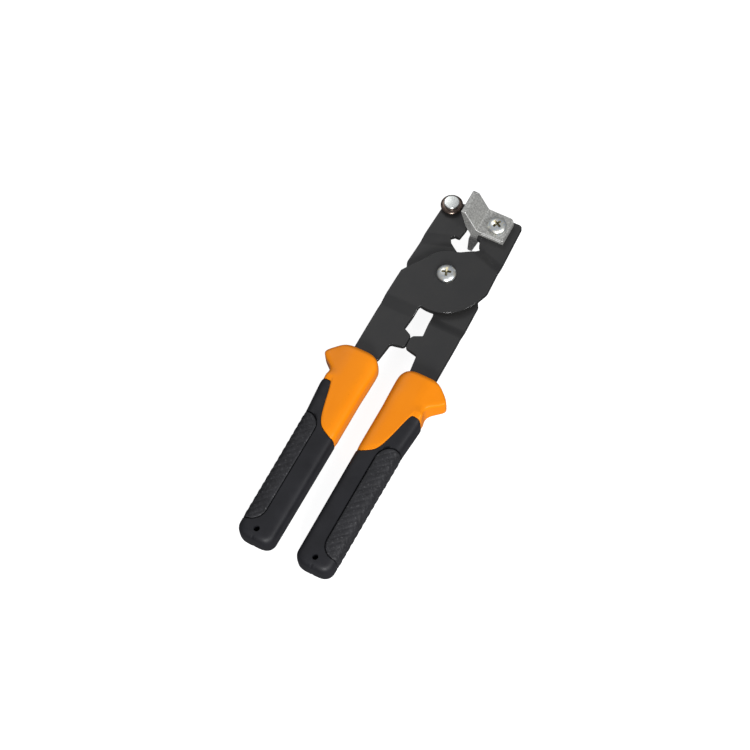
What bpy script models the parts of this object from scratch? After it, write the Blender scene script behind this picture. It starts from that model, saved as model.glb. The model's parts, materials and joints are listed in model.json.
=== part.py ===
"""A hand-held tile nibbler: two crossed steel levers on a pivot screw, with a scoring wheel on one
jaw and an aluminium V-shaped breaker on the other.

Every piece is drawn in the tool's own frame, in millimetres: X across the levers, Y along the tool
from the pivot to the jaws, Z along the pivot axis, with Z 0 at the middle of the lever plates. One
empty then lays the tool down as it rests on a table: on the two grip ends and the lower breaker wing.
"""

import math

import bmesh
import bpy
from mathutils import Matrix, Vector

MM = 0.001

# Levers: two stamped plates, mirror images of each other apart from the jaws' inner edges.
PLATE = 3.0
PLATE_GAP = 1.0
JOGGLE = (PLATE + PLATE_GAP) / 2
ARM_RAMP = (-35.5, -27.0)
JAW_RAMP = (18.0, 26.5)
RAMP_CUTS = 6
ARM_OUT = 27.0
ARM_OUT_AT_PIVOT = 26.2
FRONT_DISC_RADIUS = 26.6
REAR_DISC_RADIUS = 25.0
NECK_RADIUS = 16.8
JAW_TOP = 51.8
TANG_END = -184.0
TANG_HALF = 6.3
TANG_HOLE = 2.5
TANG_HOLES_Y = (-112.0, -158.0)
CLEAR = 0.3

# Pivot: an M6 pan head screw, a shim between the plates, a washer and a lock nut.
M6 = 3.0
HEAD_RADIUS = 6.0
HEAD_HEIGHT = 3.5
SEAT_GAP = 0.15
RUNNING_CLEARANCE = 0.1
SHIM_RADIUS = 10.0
WASHER_RADIUS = 6.2
WASHER = 1.4
NUT_FLATS = 10.0
NUT_HEIGHT = 5.0
THREAD_PAST_NUT = 1.2
INSERT_HEIGHT = 1.6

# Breaker: an extruded profile, forked around the jaw plate, with a wing above and below it.
BREAKER_Y = (33.9, 51.3)
BREAKER_SCREW = (12.9, 42.2)
FORK_OUTER = 5.9
FORK_END = 20.8
FORK_ROOT = 4.1
WING_REACH = 21.4
UPPER_WING = {"foot": 3.1, "tip": (-7.4, -4.4), "knee": (-4.3, 5.6)}
LOWER_WING = {"foot": 4.4, "tip": (-3.7, -0.6), "knee": (-2.6, -7.6)}
V_APEX = (-1.2, -1.4)
WING_CORNER = 1.6
FORK_CORNER = 2.2

# Scoring wheel, on a riveted axle near the tip of the other jaw.
WHEEL_AT = (-19.6, 45.2)
WHEEL_RADIUS = 6.9
WHEEL = 2.4
AXLE_RADIUS = 2.5
AXLE_HEAD_RADIUS = 5.0
AXLE_HEAD = 2.0
AXLE_TAIL_RADIUS = 4.0
AXLE_TAIL = 1.6
SPACER_RADIUS = 4.6
SPACER = 0.6

# Grips: a hard core moulded on the tang, a soft sleeve over it and a ribbed pad let into the sleeve.
GRIP_X = 19.1
GRIP_HALF = 12.3
GRIP_THICK = 8.6
GRIP_TOP = -67.8
GRIP_END = -203.4
GRIP_SQUARENESS = 4.0
GUARD_TIP = (40.2, -78.4)
GUARD_THINNING = 0.3
END_ROUND = 6.5
END_DOME = 4.5
SEAM_LOW = -128.2
SEAM_RISE = 33.0
SEAM_X = (8.0, 28.0)
STUB_HALF = (7.6, 4.4)
STUB_END = -191.0
STUB_TOP = -112.0
PAD_X = 20.0
PAD_Y = (-193.5, -118.5)
PAD_CORNER = 9.0
PAD_DEPTH = 1.6
HANG_HOLE = 1.6
HANG_HOLE_Y = -197.2
SECTION_COLUMNS = 13

ROUND_STEPS = 32
MIDDLE_Y = -75.5


def clear_scene():
    for item in list(bpy.data.objects):
        bpy.data.objects.remove(item)


def material(name, colour, metallic, roughness):
    made = bpy.data.materials.new(name)
    made.use_nodes = True
    shader = made.node_tree.nodes["Principled BSDF"]
    shader.inputs["Base Color"].default_value = (*colour, 1.0)
    shader.inputs["Metallic"].default_value = metallic
    shader.inputs["Roughness"].default_value = roughness
    made.diffuse_color = (*colour, 1.0)
    return made


def empty(name, parent=None, location=(0.0, 0.0, 0.0), tilt=0.0):
    made = bpy.data.objects.new(name, None)
    bpy.context.scene.collection.objects.link(made)
    made.parent = parent
    made.location = Vector(location) * MM
    made.rotation_euler = (tilt, 0.0, 0.0)
    return made


def from_bmesh(name, shape, parent, finish):
    """A new object from a bmesh drawn in millimetres in the tool's frame, placed under its parent."""
    bmesh.ops.recalc_face_normals(shape, faces=shape.faces)
    offset = Vector(parent.location) if parent and parent.parent else Vector()
    shape.transform(Matrix.Translation(-offset) @ Matrix.Scale(MM, 4))
    mesh = bpy.data.meshes.new(name)
    shape.to_mesh(mesh)
    shape.free()
    mesh.shade_smooth()
    mesh.set_sharp_from_angle(angle=math.radians(35))
    made = bpy.data.objects.new(name, mesh)
    bpy.context.scene.collection.objects.link(made)
    made.parent = parent
    if finish is None:
        made.hide_render = True
        made.display_type = "WIRE"
    else:
        mesh.materials.append(finish)
    return made


def cut(target, tool, operation="DIFFERENCE"):
    boolean = target.modifiers.new(tool.name, "BOOLEAN")
    boolean.object = tool
    boolean.operation = operation
    boolean.solver = "EXACT"


def rounded(corners):
    """Closed outline through corners of (x, y, radius), each radius drawn as an arc."""
    points = []
    count = len(corners)
    for i, (x, y, radius) in enumerate(corners):
        here = Vector((x, y))
        if not radius:
            points.append(here)
            continue
        before = (Vector(corners[i - 1][:2]) - here).normalized()
        after = (Vector(corners[(i + 1) % count][:2]) - here).normalized()
        half = before.angle(after) / 2
        centre = here + (before + after).normalized() * radius / math.sin(half)
        start = here + before * radius / math.tan(half) - centre
        sweep = (math.pi - 2 * half) * (1 if before.cross(after) < 0 else -1)
        steps = max(2, math.ceil(abs(sweep) / math.radians(18)))
        for k in range(steps + 1):
            points.append(centre + Matrix.Rotation(sweep * k / steps, 2) @ start)
    return points


def arc(radius, start, end, steps):
    """Points round the pivot axis, from one angle to the other in degrees."""
    angles = [math.radians(start + (end - start) * k / steps) for k in range(steps + 1)]
    return [Vector((radius * math.cos(a), radius * math.sin(a))) for a in angles]


def filled(points, z):
    shape = bmesh.new()
    shape.faces.new([shape.verts.new((p[0], p[1], z)) for p in points])
    return shape


def thicken(shape, height):
    """Turns a flat sheet into a closed solid of that height."""
    grown = bmesh.ops.extrude_face_region(shape, geom=shape.faces[:])
    moved = [item for item in grown["geom"] if isinstance(item, bmesh.types.BMVert)]
    bmesh.ops.translate(shape, verts=moved, vec=(0, 0, height))
    return shape


def prism(name, points, z_low, z_high, parent, finish):
    return from_bmesh(name, thicken(filled(points, z_low), z_high - z_low), parent, finish)


def turned(name, profile, centre, parent, finish, steps=ROUND_STEPS):
    """A solid turned round the Z line through centre, from an outline of (radius, z) points."""
    shape = bmesh.new()
    ring = [shape.verts.new((centre[0] + r, centre[1], z)) for r, z in profile]
    pairs = zip(ring, ring[1:] + ring[:1])
    on_axis = {ring[k] for k, (r, _) in enumerate(profile) if r == 0}
    edges = [shape.edges.new(pair) for pair in pairs if not on_axis.issuperset(pair)]
    bmesh.ops.spin(
        shape,
        geom=ring + edges,
        cent=(centre[0], centre[1], 0),
        axis=(0, 0, 1),
        angle=math.tau,
        steps=steps,
        use_merge=True,
    )
    bmesh.ops.remove_doubles(shape, verts=shape.verts, dist=0.0001)
    return from_bmesh(name, shape, parent, finish)


def drill(target, radius, centre, z_low, z_high, label):
    """Cuts a round hole along Z through the target."""
    profile = [(0, z_low), (radius, z_low), (radius, z_high), (0, z_high)]
    tool = turned(f"{target.name}_{label}", profile, centre, target.parent, None)
    cut(target, tool)


def smooth(t):
    t = min(1.0, max(0.0, t))
    return t * t * (3 - 2 * t)


# Levers


def ramp(y, low, high):
    """A smooth rise from 0 at low to 1 at high, in straight steps between the plate's bend lines."""
    t = min(1.0, max(0.0, (y - low) / (high - low))) * RAMP_CUTS
    k = min(int(t), RAMP_CUTS - 1)
    start, end = smooth(k / RAMP_CUTS), smooth((k + 1) / RAMP_CUTS)
    return start + (end - start) * (t - k)


def joggle(y):
    """How far along the plate has stepped away from the middle plane: 1 at the pivot, 0 at the ends."""
    return ramp(y, *ARM_RAMP) * (1 - ramp(y, *JAW_RAMP))


def lever_outline(jaw, disc_radius):
    """Outline of the lever whose arm is at -X and whose jaw, given as corners, is at +X."""
    tang = [
        (-GRIP_X - TANG_HALF, -73.6, 1.5),
        (-GRIP_X - TANG_HALF, TANG_END, 5.0),
        (-GRIP_X + TANG_HALF, TANG_END, 5.0),
        (-GRIP_X + TANG_HALF, -74.0, 2.0),
        (-10.2, -68.0, 1.5),
    ]
    stop = [
        (-8.7, -56.2, 1.4),
        (-0.2, -54.4, 2.2),
        (-0.2, -45.8, 2.6),
        (-6.1, -42.9, 0.8),
        (-4.6, -27.5, 0.0),
    ]
    notch = [
        (8.2, 27.0, 0.9),
        (10.2, 25.2, 0.4),
        (8.4, 22.6, 0.6),
        (0.6, 17.6, 1.0),
    ]
    shoulder = [
        (-24.6, -6.8, 0.6),
        (-ARM_OUT_AT_PIVOT, -9.4, 2.4),
        (-ARM_OUT, -40.0, 0.0),
        (-ARM_OUT, -69.6, 1.5),
    ]
    lower_disc = arc(disc_radius, -99.0, -15.5, 14)
    neck = arc(NECK_RADIUS, 96.0, 158.0, 8)
    corners = tang + stop + [(*p, 0.0) for p in lower_disc] + jaw + notch
    corners += [(*p, 0.0) for p in neck] + shoulder
    return rounded(corners)


def lever(name, jaw, disc_radius, side, parent, finish):
    """A joggled plate: side 1 steps up at the pivot, side -1 is the mirror image and steps down."""
    points = [Vector((p[0] * side, p[1])) for p in lever_outline(jaw, disc_radius)]
    shape = filled(points, -PLATE / 2)
    for low, high in (ARM_RAMP, JAW_RAMP):
        for k in range(RAMP_CUTS + 1):
            bmesh.ops.bisect_plane(
                shape,
                geom=shape.verts[:] + shape.edges[:] + shape.faces[:],
                plane_co=(0, low + (high - low) * k / RAMP_CUTS, 0),
                plane_no=(0, 1, 0),
            )
    for vert in shape.verts:
        vert.co.z += side * JOGGLE * joggle(vert.co.y)
    thicken(shape, PLATE)
    made = from_bmesh(name, shape, parent, finish)
    drill(made, M6 + RUNNING_CLEARANCE, (0, 0), -10, 10, "pivot_bore")
    for k, y in enumerate(TANG_HOLES_Y):
        drill(made, TANG_HOLE, (-GRIP_X * side, y), -5, 5, f"tang_hole_{k + 1}")
    return made


# Screws, nuts and washers


def cross_slot(name, centre, top, depth, angle, parent):
    """A tapered slot cutter, one arm of a cross recess in a screw head."""
    shape = bmesh.new()
    half_width = 0.55
    reach_top, reach_bottom = 3.1, 1.0
    rows = []
    for z, reach in ((top + 0.5, reach_top), (top - depth, reach_bottom)):
        rows.append(
            [
                shape.verts.new((sx * reach, sy * half_width, z))
                for sx, sy in ((-1, -1), (1, -1), (1, 1), (-1, 1))
            ]
        )
    shape.faces.new(rows[0])
    shape.faces.new(rows[1][::-1])
    for k in range(4):
        n = (k + 1) % 4
        shape.faces.new((rows[0][n], rows[0][k], rows[1][k], rows[1][n]))
    turn = Matrix.Translation((*centre, 0)) @ Matrix.Rotation(math.radians(angle), 4, "Z")
    shape.transform(turn)
    return from_bmesh(name, shape, parent, None)


def pan_screw(name, centre, seat, end, slot_angle, parent, finish):
    """A pan head machine screw, its head above seat and its shank down to end."""
    dome = [(HEAD_RADIUS * math.cos(a), HEAD_HEIGHT * (0.38 + 0.62 * math.sin(a)))
            for a in (0.0, 0.35, 0.7, 1.05, 1.3)]
    profile = [(0, end), (M6 - 0.5, end), (M6, end + 0.6), (M6, seat), (HEAD_RADIUS, seat)]
    profile += [(r, seat + h) for r, h in dome] + [(0, seat + HEAD_HEIGHT)]
    made = turned(name, profile, centre, parent, finish)
    for k in (0, 1):
        angle = slot_angle + 90 * k
        slot = cross_slot(f"{name}_slot_{k}", centre, seat + HEAD_HEIGHT, 2.2, angle, parent)
        cut(made, slot)
    return made


def washer(name, centre, inner, outer, z_low, z_high, parent, finish):
    profile = [(inner, z_low), (outer, z_low), (outer, z_high), (inner, z_high)]
    return turned(name, profile, centre, parent, finish)


def hex_nut(name, centre, top, height, parent, finish, recess=0.0):
    """A chamfered hexagon nut hanging below top, with a recess in its lower end for an insert."""
    corner = NUT_FLATS / 2 / math.cos(math.radians(30))
    angles = [math.radians(60 * k + 30) for k in range(6)]
    points = [(centre[0] + corner * math.cos(a), centre[1] + corner * math.sin(a)) for a in angles]
    made = prism(name, points, top - height, top, parent, finish)
    chamfer = 0.8
    profile = [(0, top - height - 0.01), (corner - chamfer, top - height - 0.01),
               (corner + 0.2, top - height + chamfer), (corner + 0.2, top - chamfer),
               (corner - chamfer, top + 0.01), (0, top + 0.01)]
    cut(made, turned(f"{name}_chamfer", profile, centre, parent, None), "INTERSECT")
    drill(made, M6 + RUNNING_CLEARANCE, centre, top - height - 1, top + 1, "thread")
    if recess:
        drill(made, M6 + 1.1, centre, top - height - 1, top - height + recess, "insert_seat")
    return made


def pivot(parent, zinc, nylon):
    head_seat = JOGGLE + PLATE / 2 + SEAT_GAP
    back = -JOGGLE - PLATE / 2 - SEAT_GAP
    nut_top = back - WASHER - SEAT_GAP
    end = nut_top - NUT_HEIGHT - THREAD_PAST_NUT
    bore = M6 + RUNNING_CLEARANCE
    pan_screw("pivot_screw", (0, 0), head_seat, end, 20.0, parent, zinc)
    half_shim = PLATE_GAP / 2 - SEAT_GAP
    washer("pivot_shim", (0, 0), bore, SHIM_RADIUS, -half_shim, half_shim, parent, nylon)
    washer("pivot_washer", (0, 0), bore, WASHER_RADIUS, back - WASHER, back, parent, zinc)
    hex_nut("pivot_lock_nut", (0, 0), nut_top, NUT_HEIGHT, parent, zinc, recess=INSERT_HEIGHT + 0.1)
    insert_top = nut_top - NUT_HEIGHT + INSERT_HEIGHT - 0.05
    washer("pivot_nut_insert", (0, 0), bore, M6 + 1.0, insert_top - INSERT_HEIGHT, insert_top,
           parent, nylon)


# Breaker


def half_breaker(wing, side):
    """Half of the extrusion's cross-section in X and Z, from the fork's root round to the knee."""
    slot = PLATE / 2 + CLEAR
    inner, outer = wing["tip"]
    return [
        (FORK_ROOT, side * slot),
        (FORK_END, side * slot),
        (FORK_END, side * FORK_OUTER),
        (wing["foot"], side * FORK_OUTER),
        (outer, side * WING_REACH),
        (inner, side * WING_REACH),
        wing["knee"],
    ]


def breaker_profile():
    """The whole cross-section: a fork round the jaw plate and two wings that form a shallow V."""
    return half_breaker(UPPER_WING, 1) + [V_APEX] + half_breaker(LOWER_WING, -1)[::-1]


def corner_cutter(name, a, b, c, axis_low, axis_high, axis, parent):
    """A three-sided cutter that takes off one corner, drawn across the X, Y or Z axis."""
    shape = bmesh.new()
    ends = []
    for along in (axis_low, axis_high):
        if axis == "X":
            ends.append([shape.verts.new((along, p[0], p[1])) for p in (a, b, c)])
        else:
            ends.append([shape.verts.new((p[0], p[1], along)) for p in (a, b, c)])
    shape.faces.new(ends[0])
    shape.faces.new(ends[1][::-1])
    for k in range(3):
        n = (k + 1) % 3
        shape.faces.new((ends[0][n], ends[0][k], ends[1][k], ends[1][n]))
    return from_bmesh(name, shape, parent, None)


def breaker(parent, aluminium, zinc):
    north = BREAKER_Y[1]
    shape = bmesh.new()
    ends = [[shape.verts.new((x, y, z)) for x, z in breaker_profile()] for y in BREAKER_Y]
    shape.faces.new(ends[0])
    shape.faces.new(ends[1][::-1])
    for k in range(len(ends[0])):
        shape.faces.new((ends[0][k], ends[0][k - 1], ends[1][k - 1], ends[1][k]))
    made = from_bmesh("breaker_jaw", shape, parent, aluminium)
    for side in (1, -1):
        tip = side * WING_REACH
        a = (north + 1, tip - side * (WING_CORNER + 1))
        b = (north + 1, tip + side)
        c = (north - WING_CORNER - 1, tip + side)
        cut(made, corner_cutter(f"wing_corner_{side}", a, b, c, -15, 10, "X", parent))
    a = (FORK_END + 1, north - FORK_CORNER - 1)
    b = (FORK_END + 1, north + 1)
    c = (FORK_END - FORK_CORNER - 1, north + 1)
    cut(made, corner_cutter("fork_corner", a, b, c, -10, 10, "Z", parent))
    drill(made, M6 + CLEAR, BREAKER_SCREW, -FORK_OUTER - 1, FORK_OUTER + 1, "screw_hole")

    back = -FORK_OUTER - SEAT_GAP
    nut_top = back - WASHER - SEAT_GAP
    end = nut_top - NUT_HEIGHT - THREAD_PAST_NUT
    pan_screw("breaker_screw", BREAKER_SCREW, FORK_OUTER + SEAT_GAP, end, 65.0, parent, zinc)
    washer("breaker_lock_washer", BREAKER_SCREW, M6 + RUNNING_CLEARANCE, 5.2, back - WASHER, back,
           parent, zinc)
    hex_nut("breaker_nut", BREAKER_SCREW, nut_top, NUT_HEIGHT, parent, zinc)


# Scoring wheel


def scoring_wheel(jaw_parent, wheel_parent, carbide, zinc):
    face = PLATE / 2 + SEAT_GAP
    spacer_top = face + SPACER
    low = spacer_top + SEAT_GAP
    high = low + WHEEL
    head = high + SEAT_GAP
    bore = AXLE_RADIUS + RUNNING_CLEARANCE
    washer("wheel_spacer", WHEEL_AT, bore, SPACER_RADIUS, face, spacer_top, jaw_parent, zinc)
    rim = WHEEL / 2 - 0.35
    profile = [(bore, low), (WHEEL_RADIUS - rim, low), (WHEEL_RADIUS, low + rim),
               (WHEEL_RADIUS, high - rim), (WHEEL_RADIUS - rim, high), (bore, high)]
    turned("scoring_wheel", profile, WHEEL_AT, wheel_parent, carbide)
    washer("axle_washer", WHEEL_AT, bore, SPACER_RADIUS, -face - SPACER, -face, jaw_parent, zinc)
    tail = -face - SPACER - SEAT_GAP
    profile = [(0, tail - AXLE_TAIL), (AXLE_TAIL_RADIUS - 0.9, tail - AXLE_TAIL),
               (AXLE_TAIL_RADIUS, tail - 0.5), (AXLE_TAIL_RADIUS, tail), (AXLE_RADIUS, tail),
               (AXLE_RADIUS, head), (AXLE_HEAD_RADIUS, head),
               (AXLE_HEAD_RADIUS, head + AXLE_HEAD - 0.5),
               (AXLE_HEAD_RADIUS - 0.5, head + AXLE_HEAD), (0, head + AXLE_HEAD)]
    turned("wheel_axle", profile, WHEEL_AT, jaw_parent, zinc)


# Grips, drawn for the arm at +X and mirrored for the other


def section_columns():
    """Unit superellipse points from the inner edge over the top to the outer edge, evenly spaced."""
    fine = 400
    power = 2 / GRIP_SQUARENESS
    track = []
    for k in range(fine + 1):
        a = math.pi * (1 - k / fine)
        c, s = math.cos(a), math.sin(a)
        track.append((math.copysign(abs(c) ** power, c), abs(s) ** power))
    lengths = [0.0]
    for p, q in zip(track, track[1:]):
        step = math.hypot((q[0] - p[0]) * GRIP_HALF, (q[1] - p[1]) * GRIP_THICK)
        lengths.append(lengths[-1] + step)
    columns, k = [], 0
    for n in range(SECTION_COLUMNS):
        wanted = lengths[-1] * n / (SECTION_COLUMNS - 1)
        while k < fine and lengths[k] < wanted - 1e-9:
            k += 1
        columns.append(track[k])
    return columns


def round_off(distance, radius):
    """How far an edge has drawn in at this distance from the end of a rounded-off block."""
    if distance >= radius:
        return 0.0
    reach = max(0.0, 1 - (1 - max(distance, 0.0) / radius) ** 2)
    return radius * (1 - math.sqrt(reach))


def blend_between(stations, y):
    """The value at y, eased between the stations of (y, value), which run from high y to low."""
    if y >= stations[0][0]:
        return stations[0][1]
    for (y1, v1), (y2, v2) in zip(stations, stations[1:]):
        if y >= y2:
            return v1 + (v2 - v1) * (y1 - y) / (y1 - y2)
    return stations[-1][1]


OUTER_EDGE = [(GRIP_TOP, 26.5), (-68.9, 30.5), (-71.2, 33.8), (-74.0, 37.0), (-76.6, 39.4),
              GUARD_TIP[::-1], (-79.9, 39.4), (-82.4, 36.4), (-85.0, 33.0), (-87.0, 31.6),
              (-89.6, 31.1), (-93.0, 32.0), (-97.5, 32.9), (-105.0, 32.3), (-116.0, 31.3),
              (-150.0, 30.9), (GRIP_END, 30.6)]
INNER_EDGE = [(GRIP_TOP, 13.5), (-68.6, 10.6), (-70.8, 8.2), (-73.8, 6.7), (-78.0, 6.4),
              (-95.0, 7.0), (-128.0, 7.0), (-150.0, 7.1), (GRIP_END, 7.3)]


def grip_point(column, y, inset=0.0):
    """The grip's surface in one column at this Y, moved in by inset."""
    from_end = y - GRIP_END
    drawn_in = round_off(from_end, END_ROUND)
    inner = blend_between(INNER_EDGE, y) + drawn_in + inset
    outer = blend_between(OUTER_EDGE, y) - drawn_in - inset
    thick = GRIP_THICK - round_off(from_end, END_DOME) - round_off(GRIP_TOP - y, 3.5) - inset
    middle, half = (inner + outer) / 2, (outer - inner) / 2
    x = middle + half * column[0]
    thinner = GUARD_THINNING * smooth((x - 28) / 10) * smooth((y + 92) / 6)
    return x, thick * column[1] * (1 - thinner)


def seam_y(x):
    """Where the soft sleeve's edge runs on the grip, low at the inner side and a tongue outside."""
    t = (x - SEAM_X[0]) / (SEAM_X[1] - SEAM_X[0])
    past_tongue = max(0.0, x - SEAM_X[1] - 1.5)
    return SEAM_LOW + SEAM_RISE * smooth(max(0.0, t) ** 2) - 0.12 * past_tongue ** 2


def column_at_seam(column, shift):
    """The Y at which one column meets the seam, moved along Y by shift."""
    low, high = GRIP_END + 20, -90.0
    for _ in range(30):
        y = (low + high) / 2
        x = grip_point(column, y)[0]
        if y < seam_y(x) + shift:
            low = y
        else:
            high = y
    return (low + high) / 2


def ringed(name, rings, side, parent, finish):
    """A closed solid from rings of (x, y, z) down one side, mirrored below the middle plane."""
    shape = bmesh.new()
    rows = []
    for ring in rings:
        top = [shape.verts.new((p[0] * side, p[1], p[2])) for p in ring]
        bottom = [shape.verts.new((p[0] * side, p[1], -p[2])) for p in ring[1:-1]]
        rows.append((top, [top[0], *bottom, top[-1]]))
    for (t1, b1), (t2, b2) in zip(rows, rows[1:]):
        for k in range(len(t1) - 1):
            shape.faces.new((t1[k], t1[k + 1], t2[k + 1], t2[k]))
            shape.faces.new((b1[k + 1], b1[k], b2[k], b2[k + 1]))
    for top, bottom in (rows[0], rows[-1]):
        for k in range(len(top) - 1):
            loop = list(dict.fromkeys((top[k], top[k + 1], bottom[k + 1], bottom[k])))
            shape.faces.new(loop)
    return from_bmesh(name, shape, parent, finish)


def grip_rings(columns, low_of, high_of, steps):
    """Rings between two edges, each given as a function from a column to its Y."""
    rings = []
    for t in steps:
        ring = []
        for column in columns:
            y = low_of(column) + (high_of(column) - low_of(column)) * t
            x, z = grip_point(column, y)
            ring.append((x, y, z))
        rings.append(ring)
    return rings


def block(name, half_x, half_z, y_low, y_high, side, parent):
    """A plain block along the grip's centre line, used to cut and join."""
    x = GRIP_X * side
    points = [(x - half_x, y_low), (x + half_x, y_low), (x + half_x, y_high), (x - half_x, y_high)]
    return prism(name, points, -half_z, half_z, parent, None)


def pad_edges(x, grow):
    """The pad's lowest and highest Y at this X, its two inner corners rounded."""
    start = PAD_X - grow
    low, high = PAD_Y[0] - grow, PAD_Y[1] + grow
    short_of = max(0.0, start + PAD_CORNER - x) / PAD_CORNER
    drawn_in = PAD_CORNER * (1 - math.sqrt(max(0.0, 1 - min(1.0, short_of) ** 2)))
    return low + drawn_in, high - drawn_in


def pad_shell(name, grow, outside, depth, side, parent, finish):
    """A shell wrapped round the grip's outer edge, from its front face to its back face."""
    half = GRIP_HALF
    start = (PAD_X - grow - GRIP_X) / half
    fine = [k / 12 for k in range(13)]
    track = [start + (0.93 - start) * k for k in fine]
    unit = [(c, (1 - abs(c) ** GRIP_SQUARENESS) ** (1 / GRIP_SQUARENESS)) for c in track]
    unit += [((1 - s ** GRIP_SQUARENESS) ** (1 / GRIP_SQUARENESS), s) for s in (0.55, 0.35, 0.15)]
    unit += [(1.0, 0.0)]
    columns = unit + [(c, -s) for c, s in reversed(unit[:-1])]
    rows = 14
    shape = bmesh.new()
    skins = []
    for inset in (-outside, depth):
        skin = []
        for column in columns:
            x_here = GRIP_X + half * column[0]
            low, high = pad_edges(x_here, grow)
            line = []
            for k in range(rows + 1):
                y = low + (high - low) * k / rows
                x, z = grip_point((column[0], abs(column[1])), y, inset)
                line.append(shape.verts.new((x * side, y, math.copysign(z, column[1]))))
            skin.append(line)
        skins.append(skin)
    outer, inner = skins
    last = len(columns) - 1
    for i in range(last):
        for k in range(rows):
            shape.faces.new((outer[i][k], outer[i + 1][k], outer[i + 1][k + 1], outer[i][k + 1]))
            shape.faces.new((inner[i][k + 1], inner[i + 1][k + 1], inner[i + 1][k], inner[i][k]))
        for k in (0, rows):
            shape.faces.new((outer[i][k], inner[i][k], inner[i + 1][k], outer[i + 1][k]))
    for i in (0, last):
        for k in range(rows):
            shape.faces.new((outer[i][k], outer[i][k + 1], inner[i][k + 1], inner[i][k]))
    return from_bmesh(name, shape, parent, finish)


def grip(label, side, parent, hard, soft, ribbed):
    """The core, sleeve and pad of one grip: side 1 is on the arm at +X, side -1 at -X."""
    columns = section_columns()
    even = [k / 9 for k in range(10)]
    top_rows = sorted({(y - GRIP_END) for y, _ in OUTER_EDGE[:12]} | {GRIP_TOP - 0.4 - GRIP_END})

    def seam(column):
        return column_at_seam(column, CLEAR)

    core_rings = grip_rings(columns, seam, lambda column: -98.0 + 2.5, (0.0, 0.5, 1.0))
    for height in top_rows:
        y = GRIP_END + height
        if y > -95.0:
            core_rings.append([(*grip_point(c, y)[:1], y, grip_point(c, y)[1]) for c in columns])
    core = ringed(f"{label}_grip_core", core_rings, side, parent, hard)
    cut(core, block(f"{label}_stub", *STUB_HALF, STUB_END, STUB_TOP, side, parent), "UNION")
    cut(core, block(f"{label}_tang_slot", TANG_HALF + CLEAR, PLATE / 2 + CLEAR, TANG_END - CLEAR,
                    -72.0, side, parent))
    mouth_x = (10.2 + ARM_OUT) / 2 * side
    mouth_half = (ARM_OUT - 10.2) / 2 + 2 * CLEAR
    points = [(mouth_x - mouth_half, -75.0), (mouth_x + mouth_half, -75.0),
              (mouth_x + mouth_half, -60.0), (mouth_x - mouth_half, -60.0)]
    cut(core, prism(f"{label}_mouth", points, -PLATE / 2 - CLEAR, PLATE / 2 + CLEAR, parent, None))

    end_rows = [0.0, 0.25, 0.8, 1.8, 3.2, 5.0, END_ROUND]
    sleeve_rings = []
    for height in end_rows:
        y = GRIP_END + height
        sleeve_rings.append([(*grip_point(c, y)[:1], y, grip_point(c, y)[1]) for c in columns])
    sleeve_rings += grip_rings(columns, lambda column: GRIP_END + END_ROUND,
                               lambda column: column_at_seam(column, 0.0), even[1:])
    sleeve = ringed(f"{label}_grip_sleeve", sleeve_rings, side, parent, soft)
    cut(sleeve, block(f"{label}_cavity", STUB_HALF[0] + CLEAR, STUB_HALF[1] + CLEAR,
                      STUB_END - CLEAR, -80.0, side, parent))
    cut(sleeve, pad_shell(f"{label}_pad_recess", CLEAR, 2.0, PAD_DEPTH + CLEAR, side, parent, None))
    drill(sleeve, HANG_HOLE, (GRIP_X * side, HANG_HOLE_Y), -12, 12, "hang_hole")
    pad_shell(f"{label}_grip_pad", 0.0, 0.0, PAD_DEPTH, side, parent, ribbed)


def main():
    clear_scene()
    black_steel = material("black_painted_steel", (0.022, 0.022, 0.024), 0.0, 0.38)
    aluminium = material("cast_aluminium", (0.60, 0.60, 0.59), 1.0, 0.45)
    zinc = material("zinc_plated_steel", (0.72, 0.74, 0.74), 1.0, 0.28)
    carbide = material("dark_bronze_carbide", (0.16, 0.12, 0.10), 1.0, 0.30)
    nylon = material("white_nylon", (0.80, 0.80, 0.76), 0.0, 0.45)
    orange = material("orange_plastic", (0.90, 0.33, 0.02), 0.0, 0.35)
    rubber = material("black_soft_rubber", (0.030, 0.030, 0.033), 0.0, 0.62)
    pad_rubber = material("black_pad_rubber", (0.034, 0.034, 0.037), 0.0, 0.72)

    grip_rest_y = GRIP_END + END_DOME
    tilt = math.atan((WING_REACH - GRIP_THICK) / (BREAKER_Y[0] - grip_rest_y))
    lift = WING_REACH * math.cos(tilt) - BREAKER_Y[0] * math.sin(tilt)
    tool = empty("tool", None, (0, -MIDDLE_Y, lift), tilt)
    front = empty("front_lever_body", tool)
    rear = empty("rear_lever_body", tool)
    wheel = empty("wheel_body", tool, (*WHEEL_AT, 0))

    right_jaw = [(27.9, -1.0, 6.0), (27.4, 10.0, 8.0), (25.8, JAW_TOP, 2.5),
                 (4.4, JAW_TOP, 0.0), (4.4, 31.6, 0.6), (6.8, 30.8, 0.8)]
    left_jaw = [(26.8, -1.0, 6.0), (26.2, 10.0, 8.0), (24.4, 50.2, 2.5),
                (4.0, 50.2, 1.2), (4.1, 34.0, 0.0), (5.1, 27.2, 0.8)]
    front_lever = lever("front_lever", right_jaw, FRONT_DISC_RADIUS, 1, front, black_steel)
    drill(front_lever, M6 + CLEAR, BREAKER_SCREW, -5, 5, "breaker_hole")
    rear_lever = lever("rear_lever", left_jaw, REAR_DISC_RADIUS, -1, rear, black_steel)
    drill(rear_lever, AXLE_RADIUS + RUNNING_CLEARANCE, WHEEL_AT, -5, 5, "axle_hole")

    pivot(front, zinc, nylon)
    breaker(front, aluminium, zinc)
    scoring_wheel(rear, wheel, carbide, zinc)
    grip("left", -1, front, orange, rubber, pad_rubber)
    grip("right", 1, rear, orange, rubber, pad_rubber)


main()
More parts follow.
